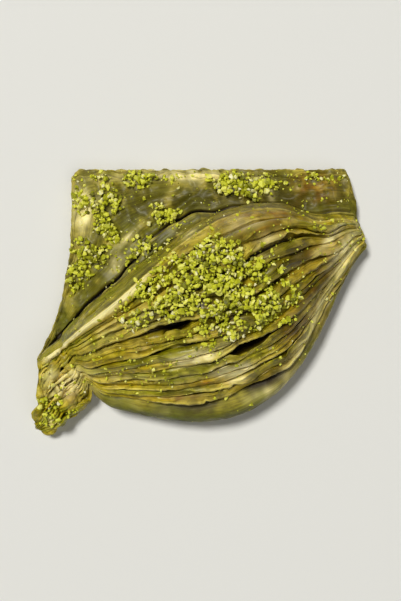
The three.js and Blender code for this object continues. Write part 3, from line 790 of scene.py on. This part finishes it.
# darker places, mostly painted shade and partly syrup soak: under the heap of crumbs, towards the fan, inside the rim's
# light outer edge, along the rim's lower part and on the flap beyond the dome
soak_and_shade = (0.95 * blob(1.5, 4.0, 13.5, 7.0, 28) ** 0.6 + 0.6 * blob(12.0, -1.0, 8.0, 4.5, 30)
          + 0.75 * blob(24.5, 0.5, 8.0, 2.0, 60) + 0.55 * blob(19.5, 9.5, 6.0, 1.6, 34) + 0.5 * blob(16.0, -9.5, 6.0, 1.2, 30)
          + 0.5 * blob(12.5, -16.6, 5.0, 0.9, 26) + 0.5 * blob(-2.5, -20.8, 6.5, 0.7, 0) + 0.4 * blob(2.5, 25.5, 2.5, 0.7, -18)
          + 0.55 * blob(-12.2, 13.8, 1.6, 0.8, 30) + 0.4 * blob(-9.0, -12.6, 4.0, 0.6, 13) + 0.5 * blob(1.2, -13.4, 4.0, 0.6, 14))
soak_and_shade = soak_and_shade + 0.9 * blob(16.0, -16.3, 3.2, 1.0, 28) + 1.0 * blob(17.6, -6.4, 2.6, 1.4, 24) \
    + 1.1 * blob(22.9, 1.8, 4.0, 1.6, 58) + 0.9 * blob(20.4, 8.2, 3.2, 1.1, 32) + 0.6 * inner_line
soak_and_shade = soak_and_shade * (1 + 0.3 * blotch2) * (1 - 0.9 * outer_line)
# painted shade on the rim's lower part, and on its right part away from the highlight line
soak_and_shade = soak_and_shade + upper ** 1.5 * rim_low * 0.50 * left + 0.30 * on_rim * right * (1 - np.minimum(1, rim_mid))
soak_and_shade = soak_and_shade + 0.30 * blob(11.0, 16.5, 9.0, 2.2, 4) + 0.75 * blob(14.0, 21.8, 17.0, 3.2, 0) + 0.42 * blob(-6.0, 21.8, 9.0, 2.8, 10) + 0.35 * blob(-14.6, 18.2, 3.0, 2.4, 0) + 0.35 * blob(-19.0, 7.5, 3.4, 3.0, 0)
layer = mesh.attributes.new("soak_and_shade", "FLOAT", "POINT")
layer.data.foreach_set("value", np.clip(soak_and_shade, 0, 1).astype(np.float32))
layer = mesh.attributes.new("mossy", "FLOAT", "POINT")
layer.data.foreach_set("value", np.clip(mossy, 0, 1).astype(np.float32))
layer = mesh.attributes.new("brown", "FLOAT", "POINT")
layer.data.foreach_set("value", np.clip(brown, 0, 1).astype(np.float32))
layer = mesh.attributes.new("pale_and_highlight", "FLOAT", "POINT")
layer.data.foreach_set("value", np.clip(pale_and_highlight, 0, 1.4).astype(np.float32))

# maps: "flow" runs along the leaves in mm, "OFBake" unrolls the grid once
mid = grid[R // 2]
ring_len = np.concatenate([[0], np.cumsum(np.linalg.norm(np.roll(mid, -1, 0) - mid, axis=1))])
row_v = ring_len / ring_len[-1]
seg = np.linalg.norm(np.diff(grid.mean(1), axis=0), axis=1) + 0.05
row_u = np.concatenate([[0.6], 0.6 + np.cumsum(seg)])
row_u = row_u / (row_u[-1] + 0.6)


def loops_uv(u_rows, v_cols, u_a, u_b):
    """Per-corner map of the quads, then of the two caps' triangles."""
    uu = np.stack([np.repeat(u_rows[:-1, None], K, 1), np.repeat(u_rows[:-1, None], K, 1),
                   np.repeat(u_rows[1:, None], K, 1), np.repeat(u_rows[1:, None], K, 1)], -1)
    v0, v1 = np.broadcast_to(v_cols[:-1], (R - 1, K)), np.broadcast_to(v_cols[1:], (R - 1, K))
    vv = np.stack([v0, v1, v1, v0], -1)
    q = np.stack([uu, vv], -1).reshape(-1, 4, 2)
    mid_v = 0.5 * (v_cols[:-1] + v_cols[1:])
    ta = np.stack([np.stack([np.full(K, u_a), mid_v], -1),
                   np.stack([np.full(K, u_rows[0]), v_cols[1:]], -1),
                   np.stack([np.full(K, u_rows[0]), v_cols[:-1]], -1)], 1)
    tb = np.stack([np.stack([np.full(K, u_rows[-1]), v_cols[:-1]], -1),
                   np.stack([np.full(K, u_rows[-1]), v_cols[1:]], -1),
                   np.stack([np.full(K, u_b), mid_v], -1)], 1)
    if flip:
        q, ta, tb = q[:, ::-1], ta[:, ::-1], tb[:, ::-1]
    return np.concatenate([q.reshape(-1, 2), ta.reshape(-1, 2), tb.reshape(-1, 2)])


flow = mesh.uv_layers.new(name="flow")
flow.data.foreach_set("uv", loops_uv(u_mm, ring_len, u_mm[0] - 1, u_mm[-1] + 1).astype(np.float32).ravel())
bake = mesh.uv_layers.new(name="OFBake")
bake.data.foreach_set("uv", loops_uv(row_u, row_v, 0.0, 1.0).astype(np.float32).ravel())
mesh.uv_layers.active = flow


# ------------------------------------------------------------------ materials
def lin(r, g, b):
    def f(c):
        c /= 255.0
        return c / 12.92 if c <= 0.04045 else ((c + 0.055) / 1.055) ** 2.4
    return (f(r), f(g), f(b), 1.0)


class Nodes:
    def __init__(self, name):
        self.mat = bpy.data.materials.new(name)
        self.mat.use_nodes = True
        self.tree = self.mat.node_tree
        self.tree.nodes.clear()
        self.out = self.tree.nodes.new("ShaderNodeOutputMaterial")
        self.bsdf = self.tree.nodes.new("ShaderNodeBsdfPrincipled")
        self.link(self.bsdf.outputs[0], self.out.inputs[0])

    def link(self, a, b):
        self.tree.links.new(a, b)

    def new(self, kind, **props):
        node = self.tree.nodes.new(kind)
        for k, v in props.items():
            setattr(node, k, v)
        return node

    def put(self, socket, value):
        if isinstance(value, bpy.types.NodeSocket):
            self.link(value, socket)
        else:
            socket.default_value = value

    def attribute(self, name):
        return self.new("ShaderNodeAttribute", attribute_name=name).outputs["Fac"]

    def math(self, op, a, b=0.0, c=0.0, clamp=False):
        node = self.new("ShaderNodeMath", operation=op, use_clamp=clamp)
        self.put(node.inputs[0], a)
        self.put(node.inputs[1], b)
        if op in ("MULTIPLY_ADD",):
            self.put(node.inputs[2], c)
        return node.outputs[0]

    def mix(self, fac, a, b, blend="MIX"):
        node = self.new("ShaderNodeMix", data_type="RGBA", blend_type=blend)
        node.clamp_factor = True
        self.put(node.inputs[0], fac)
        self.put(node.inputs[6], a)
        self.put(node.inputs[7], b)
        return node.outputs[2]

    def ramp(self, fac, a, b):
        node = self.new("ShaderNodeMapRange", clamp=True, interpolation_type="SMOOTHSTEP")
        self.put(node.inputs[0], fac)
        node.inputs[1].default_value, node.inputs[2].default_value = a, b
        return node.outputs[0]

    def noise(self, vector, scale, detail=3.0, rough=0.5, stretch=None):
        if stretch:
            m = self.new("ShaderNodeMapping")
            m.inputs["Scale"].default_value = stretch
            self.link(vector, m.inputs["Vector"])
            vector = m.outputs[0]
        node = self.new("ShaderNodeTexNoise")
        self.link(vector, node.inputs["Vector"])
        node.inputs["Scale"].default_value = scale
        node.inputs["Detail"].default_value = detail
        node.inputs["Roughness"].default_value = rough
        return node.outputs[0]


def phyllo_material():
    m = Nodes("phyllo_syrup")
    coord = m.new("ShaderNodeTexCoord").outputs["Object"]
    uv = m.new("ShaderNodeUVMap", uv_map="flow").outputs[0]
    edge, slit, tint = m.attribute("edge"), m.attribute("slit"), m.attribute("tint")
    brown, pale_and_highlight, flapv = m.attribute("brown"), m.attribute("pale_and_highlight"), m.attribute("flap")
    broad = m.noise(coord, 130.0, 3.0, 0.55)
    patch = m.noise(coord, 420.0, 4.0, 0.6)
    grain = m.noise(uv, 1.0, 5.0, 0.62, stretch=(0.16, 2.6, 1.0))
    fibre = m.noise(uv, 1.0, 4.0, 0.6, stretch=(0.5, 7.0, 1.0))

    green, gold = lin(178, 176, 30), lin(224, 202, 46)
    fac = m.math("ADD", m.math("MULTIPLY", tint, 0.55), m.math("MULTIPLY", broad, 0.75))
    fac = m.ramp(m.math("ADD", fac, m.math("MULTIPLY", grain, 0.35)), 0.55, 1.10)
    colour = m.mix(fac, green, gold)
    colour = m.mix(m.math("MULTIPLY", flapv, 0.76), colour, lin(113, 114, 36))
    moss = m.attribute("mossy")
    colour = m.mix(m.math("MULTIPLY", moss, 0.84), colour, lin(94, 108, 8))
    # brown, baked places, patchy
    burn = m.math("MULTIPLY", brown, m.ramp(m.math("ADD", m.math("MULTIPLY", patch, 0.6), m.math("MULTIPLY", grain, 0.6)), 0.35, 0.85))
    colour = m.mix(burn, colour, lin(184, 120, 26))
    # paler free edges along some leaves: partly drier pastry, partly painted highlight
    dry_edge_and_highlight = m.math("MULTIPLY", m.math("MULTIPLY", edge, edge), m.ramp(m.math("ADD", m.math("MULTIPLY", patch, 0.5), m.math("MULTIPLY", broad, 0.5)), 0.30, 0.62))
    colour = m.mix(m.math("MULTIPLY", dry_edge_and_highlight, 0.85), colour, lin(248, 232, 146))
    # painted shade, partly syrup soak, in dark olive brown
    colour = m.mix(m.math("MULTIPLY", m.attribute("soak_and_shade"), 0.70), colour, lin(76, 62, 4))
    # blotches a few millimetres wide, thicker and thinner syrup
    spots = m.noise(coord, 520.0, 4.0, 0.55)
    spots2 = m.noise(coord, 260.0, 3.0, 0.5)
    colour = m.mix(m.math("MULTIPLY", m.math("SUBTRACT", 1.0, m.ramp(spots, 0.36, 0.56)), 0.42), colour, lin(92, 82, 2))
    colour = m.mix(m.math("MULTIPLY", m.math("MULTIPLY", m.ramp(spots2, 0.50, 0.72), m.math("SUBTRACT", 1.0, moss, clamp=True)), 0.48), colour, lin(240, 222, 116))
    # streaks along the leaves
    streak = m.ramp(grain, 0.34, 0.66)
    colour = m.mix(m.math("MULTIPLY", m.math("SUBTRACT", 1.0, streak), 0.65), colour, (0.48, 0.40, 0.16, 1), "MULTIPLY")
    # painted highlights and glints, towards near white
    colour = m.mix(m.math("MULTIPLY", pale_and_highlight, m.math("ADD", 0.50, m.math("MULTIPLY", grain, 0.45)), clamp=True), colour, lin(255, 240, 182))
    # painted shade in the slits, grooves and creases: deep olive brown, and near black where the amount goes over 1
    colour = m.mix(m.math("MULTIPLY", m.math("MINIMUM", slit, 1.0), 0.90), colour, lin(52, 37, 1))
    colour = m.mix(m.math("SUBTRACT", slit, 1.0, clamp=True), colour, lin(18, 13, 2))
    # wet pastry: dark places look deeper and the light ones keep their lightness
    deep = m.new("ShaderNodeGamma")
    deep.inputs[1].default_value = 1.22
    m.link(colour, deep.inputs[0])
    colour = m.mix(1.0, deep.outputs[0], (1.14, 1.17, 1.10, 1), "MULTIPLY")
    m.link(colour, m.bsdf.inputs["Base Color"])

    rough = m.math("ADD", 0.24, m.math("MULTIPLY", m.ramp(patch, 0.3, 0.7), 0.20))
    rough = m.math("ADD", rough, m.math("MULTIPLY", edge, 0.12))
    rough = m.math("ADD", rough, m.math("MULTIPLY", moss, 0.16))
    rough = m.math("ADD", rough, m.math("MULTIPLY", flapv, 0.30))
    m.link(rough, m.bsdf.inputs["Roughness"])
    m.bsdf.inputs["IOR"].default_value = 1.46
    m.bsdf.inputs["Coat Weight"].default_value = 0.20
    m.bsdf.inputs["Coat Roughness"].default_value = 0.34
    m.bsdf.inputs["Specular IOR Level"].default_value = 0.30
    m.bsdf.inputs["Subsurface Weight"].default_value = 0.15
    m.bsdf.inputs["Subsurface Radius"].default_value = (1.0, 0.85, 0.25)
    m.bsdf.inputs["Subsurface Scale"].default_value = 0.0012

    b1 = m.new("ShaderNodeBump")
    m.link(m.math("SUBTRACT", 0.55, m.math("MULTIPLY", flapv, 0.45)), b1.inputs["Strength"])
    b1.inputs["Distance"].default_value = 0.00035
    m.link(grain, b1.inputs["Height"])
    b2 = m.new("ShaderNodeBump")
    b2.inputs["Strength"].default_value = 0.45
    b2.inputs["Distance"].default_value = 0.00012
    m.link(fibre, b2.inputs["Height"])
    m.link(b1.outputs[0], b2.inputs["Normal"])
    b3 = m.new("ShaderNodeBump")
    m.link(m.math("SUBTRACT", 0.35, m.math("MULTIPLY", flapv, 0.20)), b3.inputs["Strength"])
    b3.inputs["Distance"].default_value = 0.00025
    m.link(m.noise(coord, 900.0, 3.0, 0.6), b3.inputs["Height"])
    m.link(b2.outputs[0], b3.inputs["Normal"])
    m.link(b3.outputs[0], m.bsdf.inputs["Normal"])
    return m.mat


mesh.materials.append(phyllo_material())

# ------------------------------------------------------------------ ground pistachio
def crumb_shapes(count, r):
    """Chipped convex grains of about unit size, each with at most 32 triangles."""
    import bmesh
    shapes = []
    for _ in range(count):
        bm = bmesh.new()
        points = r.normal(size=(16, 3))
        points /= np.linalg.norm(points, axis=1)[:, None]
        points *= r.uniform(0.72, 1.10, 16)[:, None]
        points *= np.array([1.0, r.uniform(0.66, 0.98), r.uniform(0.55, 0.88)]) * 0.5
        for q in points:
            bm.verts.new(q)
        bmesh.ops.convex_hull(bm, input=bm.verts)
        loose = [v for v in bm.verts if not v.link_faces]
        bmesh.ops.delete(bm, geom=loose, context="VERTS")
        bmesh.ops.triangulate(bm, faces=bm.faces)
        bmesh.ops.recalc_face_normals(bm, faces=bm.faces)
        bm.verts.index_update()
        v = np.array([q.co[:] for q in bm.verts])
        f = np.array([[q.index for q in face.verts] for face in bm.faces])
        if volume(v, f) < 0:
            f = f[:, ::-1]
        bm.free()
        shapes.append((v, f))
    return shapes


def turn(r):
    """A random rotation as a 3x3 matrix."""
    q = r.normal(size=4)
    q /= np.linalg.norm(q)
    w, a, b, c = q
    return np.array([[1 - 2 * (b * b + c * c), 2 * (a * b - c * w), 2 * (a * c + b * w)],
                     [2 * (a * b + c * w), 1 - 2 * (a * a + c * c), 2 * (b * c - a * w)],
                     [2 * (a * c - b * w), 2 * (b * c + a * w), 1 - 2 * (a * a + b * b)]])


def cloud(r, n, x0, y0, sx, sy, angle):
    """n places around a middle, in the plan curves' frame."""
    q = r.normal(size=(n, 2)) * (sx, sy)
    ca, sa = math.cos(math.radians(angle)), math.sin(math.radians(angle))
    return np.stack([x0 + q[:, 0] * ca - q[:, 1] * sa, y0 + q[:, 0] * sa + q[:, 1] * ca], 1)


def disc(r, n, x0, y0, rx, ry, angle, power=0.62):
    """n places filling an ellipse evenly, thinning out only at its border."""
    a = r.uniform(0, 2 * math.pi, n)
    d = r.uniform(0, 1, n) ** power * (1 + 0.16 * np.sin(3 * a + 1.0) + 0.10 * np.sin(5 * a + 2.2))
    q = np.stack([rx * d * np.cos(a), ry * d * np.sin(a)], 1)
    ca, sa = math.cos(math.radians(angle)), math.sin(math.radians(angle))
    return np.stack([x0 + q[:, 0] * ca - q[:, 1] * sa, y0 + q[:, 0] * sa + q[:, 1] * ca], 1)


def ground_pistachio():
    r = np.random.default_rng(9001)
    shapes = crumb_shapes(48, r)
    tree = BVHTree.FromPolygons([tuple(v) for v in verts.tolist()], faces)
    cell = 0.25
    x0, y0 = -38.0, -31.0
    nx, ny = int(78 / cell), int(64 / cell)
    top = np.full((nx, ny), -1.0)
    down = Vector((0, 0, -1))
    for i in range(nx):
        for j in range(ny):
            hit = tree.ray_cast(Vector((x0 + (i + 0.5) * cell, y0 + (j + 0.5) * cell, 60)), down)
            if hit[0] is not None:
                top[i, j] = hit[0].z
    bare = top.copy()

    groups = []      # places, smallest, middle size, largest, spread
    groups.append((disc(r, 1900, 2.2, 4.4, 15.2, 8.6, 30), 0.50, 0.98, 1.9, 0.32))
    groups.append((disc(r, 620, 7.0, -0.5, 13.0, 6.6, 25), 0.50, 0.98, 1.9, 0.32))
    groups.append((disc(r, 330, 15.4, -1.2, 8.2, 4.4, 38), 0.45, 0.95, 1.8, 0.32))
    groups.append((disc(r, 220, -10.5, -0.6, 8.5, 3.8, 36), 0.45, 0.92, 1.7, 0.32))
    groups.append((cloud(r, 200, 3.5, 1.2, 11.0, 6.0, 25), 0.40, 0.75, 1.5, 0.36))
    groups.append((cloud(r, 70, 5.6, -8.0, 1.3, 0.9, 20), 0.50, 0.95, 1.7, 0.32))
    heap = len(groups)
    groups.append((cloud(r, 330, 9.0, 24.6, 3.5, 1.5, -4), 0.50, 1.10, 2.1, 0.30))
    groups.append((cloud(r, 350, -20.4, 18.0, 1.4, 4.4, -4), 0.50, 1.10, 2.1, 0.30))
    groups.append((cloud(r, 90, -25.6, 21.4, 1.4, 2.4, 0), 0.50, 1.00, 1.9, 0.30))
    groups.append((cloud(r, 130, -12.8, 10.2, 3.6, 1.7, 40), 0.45, 0.95, 1.7, 0.32))
    groups.append((cloud(r, 120, -7.8, 18.4, 1.4, 1.5, 0), 0.50, 1.10, 2.0, 0.30))
    groups.append((cloud(r, 230, -25.2, 8.4, 1.8, 3.2, -30), 0.45, 1.05, 2.0, 0.30))
    groups.append((cloud(r, 90, -12.6, 25.8, 1.5, 0.9, 0), 0.45, 1.05, 2.0, 0.30))
    groups.append((cloud(r, 100, -32.3, -23.5, 2.0, 3.0, -10), 0.40, 0.90, 1.7, 0.34))
    groups.append((cloud(r, 40, 27.0, 10.0, 5.0, 4.0, 30), 0.35, 0.65, 1.2, 0.36))
    groups.append((cloud(r, 80, -12.0, -13.0, 9.0, 4.0, 15), 0.35, 0.65, 1.2, 0.36))
    groups.append((np.stack([r.uniform(-34, 35, 430), r.uniform(-27, 28, 430)], 1), 0.30, 0.60, 1.4, 0.38))
    groups.append((np.stack([r.uniform(-29, 31, 190), 27.2 - np.abs(r.normal(0, 1.1, 190))], 1), 0.40, 0.80, 1.5, 0.34))
    groups.append((cloud(r, 600, 0.0, -1.0, 16.0, 9.0, 27), 0.20, 0.36, 0.65, 0.30))
    groups.append((np.stack([r.uniform(-30, 32, 380), r.uniform(6, 28, 380)], 1), 0.20, 0.38, 0.7, 0.32))
    ragged = Waves(9003, 3.0, 9.0, 2)
    # borders of the heap: a line and the side without crumbs; (x, y) through it, (x, y) away from it
    borders = [((3.0, 13.6), (0.55, 0.83)), ((12.0, 8.2), (0.58, 0.81)), ((23.5, -1.0), (0.85, 0.35)),
               ((0.0, -8.6), (-0.05, -1.0)), ((-6.0, 9.5), (-0.60, 0.80))]
    thin = Waves(9002, 3.2, 8.0, 2)        # the crumbs lie in loose clumps
    open_lines = []
    for t_low, t_high, at, half, reach_mm in ((rim_info[6][0], rim_info[5][0], 0.574, 0.068, 1.35),
                                              (rim_info[10][0], rim_info[9][0], 0.406, 0.055, 1.0)):
        pick = np.abs(S - at) < half
        line = dome_xyz(S[pick], 0.78 * t_low[pick] + 0.22 * t_high[pick])[:, :2]
        open_lines.append((line, reach_mm))

    all_v, all_f, all_hue, all_uv = [], [], [], []
    base = 0
    number = 0
    blocks = 76                       # the map is a square of blocks, one for each grain
    for group, (places, smallest, middle, largest, spread) in enumerate(groups):
        for qx, qy in places:
            size = float(np.clip(middle * math.exp(r.normal(0, spread)), smallest, largest))
            if any(np.min(np.hypot(line[:, 0] - qx, line[:, 1] - qy)) < room + 0.3 * size for line, room in open_lines):
                continue
            v0, f0 = shapes[r.integers(len(shapes))]
            matrix = turn(r)
            if group < heap:
                over = max((qx - bx) * nx_ + (qy - by) * ny_ for (bx, by), (nx_, ny_) in borders)
                if r.uniform() < 0.96 * smooth(over + 0.9 * ragged(qx, qy), -0.9, 0.9):
                    continue
            if r.uniform() > 0.80 + 0.42 * thin(qx, qy):
                continue
            hue = float(np.clip(r.beta(1.25, 1.25), 0, 1))
            i, j = int((qx - x0) / cell), int((qy - y0) / cell)
            reach = max(1, int(0.42 * size / cell))
            if i - reach < 0 or j - reach < 0 or i + reach >= nx or j + reach >= ny:
                continue
            patch = top[i - reach:i + reach + 1, j - reach:j + reach + 1]
            under = bare[i - reach:i + reach + 1, j - reach:j + reach + 1]
            if under.min() < 0.5 or number >= blocks * blocks:
                continue
            # a wet grain stays on a slope, but falls off a steep wall
            mid_h = float(np.median(under))
            if mid_h - np.percentile(under, 25) > 0.9 * size + 0.8 or top[i, j] - bare[i, j] > 1.7:
                continue
            z = 0.70 * float(np.median(patch)) + 0.30 * float(patch.max()) + 0.15 * size
            v = (v0 * size) @ matrix.T
            v = v + np.array([qx, qy, z])
            all_v.append(v)
            all_f.append(f0 + base)
            base += len(v)
            all_hue.append(np.full(len(v), hue))
            for di in range(-reach, reach + 1):
                for dj in range(-reach, reach + 1):
                    d = math.hypot(di, dj) * cell
                    if d < 0.5 * size:
                        cap = z + 0.36 * math.sqrt(max(0.0, size * size * 0.25 - d * d)) * 2 * 0.7
                        if cap > top[i + di, j + dj]:
                            top[i + di, j + dj] = cap
            bx, by = (number % blocks) / blocks, (number // blocks) / blocks
            unit = 1.0 / blocks / 4
            for k in range(len(f0)):
                sx, sy = bx + (k // 2 % 4) * unit, by + (k // 8) * unit
                m, w = 0.12 * unit, 0.88 * unit
                if k % 2 == 0:
                    all_uv += [(sx + m, sy + m), (sx + w - 0.1 * unit, sy + m), (sx + m, sy + w - 0.1 * unit)]
                else:
                    all_uv += [(sx + w, sy + w), (sx + m + 0.1 * unit, sy + w), (sx + w, sy + m + 0.1 * unit)]
            number += 1
    obj = make_mesh("ground_pistachio", np.concatenate(all_v), np.concatenate(all_f).tolist(), False)
    hue = obj.data.attributes.new("hue", "FLOAT", "POINT")
    hue.data.foreach_set("value", np.concatenate(all_hue).astype(np.float32))
    uv = obj.data.uv_layers.new(name="OFBake")
    uv.data.foreach_set("uv", np.array(all_uv, np.float32).ravel())
    return obj


def pistachio_material():
    m = Nodes("pistachio_ground")
    coord = m.new("ShaderNodeTexCoord").outputs["Object"]
    ramp = m.new("ShaderNodeValToRGB")
    stops = [(0.0, lin(100, 100, 6)), (0.16, lin(168, 170, 22)), (0.42, lin(212, 215, 44)),
             (0.68, lin(232, 232, 78)), (0.86, lin(238, 234, 118)), (1.0, lin(252, 246, 196))]
    ramp.color_ramp.elements[0].position, ramp.color_ramp.elements[0].color = stops[0]
    ramp.color_ramp.elements[1].position, ramp.color_ramp.elements[1].color = stops[-1]
    for at, colour in stops[1:-1]:
        ramp.color_ramp.elements.new(at).color = colour
    spots = m.noise(coord, 1500.0, 3.0, 0.6)
    h = m.math("ADD", m.attribute("hue"), m.math("MULTIPLY", m.math("SUBTRACT", spots, 0.5), 0.45), clamp=True)
    m.link(h, ramp.inputs[0])
    m.link(ramp.outputs[0], m.bsdf.inputs["Base Color"])
    m.link(m.math("ADD", 0.42, m.math("MULTIPLY", spots, 0.25)), m.bsdf.inputs["Roughness"])
    m.bsdf.inputs["Subsurface Weight"].default_value = 0.12
    m.bsdf.inputs["Subsurface Radius"].default_value = (1.0, 0.9, 0.25)
    m.bsdf.inputs["Subsurface Scale"].default_value = 0.0006
    b = m.new("ShaderNodeBump")
    b.inputs["Strength"].default_value = 0.5
    b.inputs["Distance"].default_value = 0.00012
    m.link(m.noise(coord, 3200.0, 3.0, 0.6), b.inputs["Height"])
    m.link(b.outputs[0], m.bsdf.inputs["Normal"])
    return m.mat


crumbs = ground_pistachio()
crumbs.data.materials.append(pistachio_material())

# ------------------------------------------------------------------ stage
def plain(name, colour, rough):
    m = Nodes(name)
    m.bsdf.inputs["Base Color"].default_value = colour
    m.bsdf.inputs["Roughness"].default_value = rough
    return m.mat


floor_mesh = bpy.data.meshes.new("floor")
e = 5.0
floor_mesh.from_pydata([(-e, -e, 0), (e, -e, 0), (e, e, 0), (-e, e, 0)], [], [(0, 1, 2, 3)])
floor = bpy.data.objects.new("floor", floor_mesh)
floor.location = (0, 0, -0.0002)
bpy.context.scene.collection.objects.link(floor)
floor_mesh.materials.append(plain("floor_pale", (0.80, 0.80, 0.78, 1), 0.7))


def area_light(name, place, target, size, power, colour=(1, 1, 1)):
    light = bpy.data.lights.new(name, "AREA")
    light.shape = "DISK"
    light.size = size
    light.energy = power
    light.color = colour
    obj = bpy.data.objects.new(name, light)
    obj.location = place
    obj.rotation_euler = (Vector(target) - Vector(place)).to_track_quat("-Z", "Y").to_euler()
    bpy.context.scene.collection.objects.link(obj)
    return obj


area_light("key", (-0.96, 1.08, 3.60), (0, 0, 0.01), 0.90, 122.0, (1.0, 0.985, 0.93))
area_light("fill", (1.20, -1.60, 4.20), (0, 0, 0.01), 3.2, 30.0, (1.0, 1.0, 0.97))

world = bpy.data.worlds.new("studio")
bpy.context.scene.world = world
world.use_nodes = True
world.node_tree.nodes["Background"].inputs[0].default_value = (0.98, 0.98, 0.97, 1)
# pale near the horizon, darker overhead
sky = world.node_tree.nodes.new("ShaderNodeTexCoord")
height = world.node_tree.nodes.new("ShaderNodeSeparateXYZ")
fall = world.node_tree.nodes.new("ShaderNodeMapRange")
fall.interpolation_type = "SMOOTHSTEP"
for k, value in ((1, 0.20), (2, 0.46), (3, 0.27), (4, 0.05)):
    fall.inputs[k].default_value = value
world.node_tree.links.new(sky.outputs["Generated"], height.inputs[0])
world.node_tree.links.new(height.outputs[2], fall.inputs[0])
world.node_tree.links.new(fall.outputs[0], world.node_tree.nodes["Background"].inputs[1])

camera_data = bpy.data.cameras.new("camera")
camera_data.lens = 100
camera_data.sensor_width = 36
camera_data.sensor_fit = "HORIZONTAL"
camera = bpy.data.objects.new("camera", camera_data)
bpy.context.scene.collection.objects.link(camera)
frame_width = 0.084            # the picture's width at the middle of the pastry
distance = frame_width * 100 / 36
camera.location = (0.0, 0.0, 0.012 + distance)
camera.rotation_euler = (0, 0, 0)
bpy.context.scene.camera = camera
bpy.context.scene.view_settings.view_transform = "Standard"

# ------------------------------------------------------------------ frame
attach(pastry, "root")
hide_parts("baklava_piece")
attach(crumbs, "root")
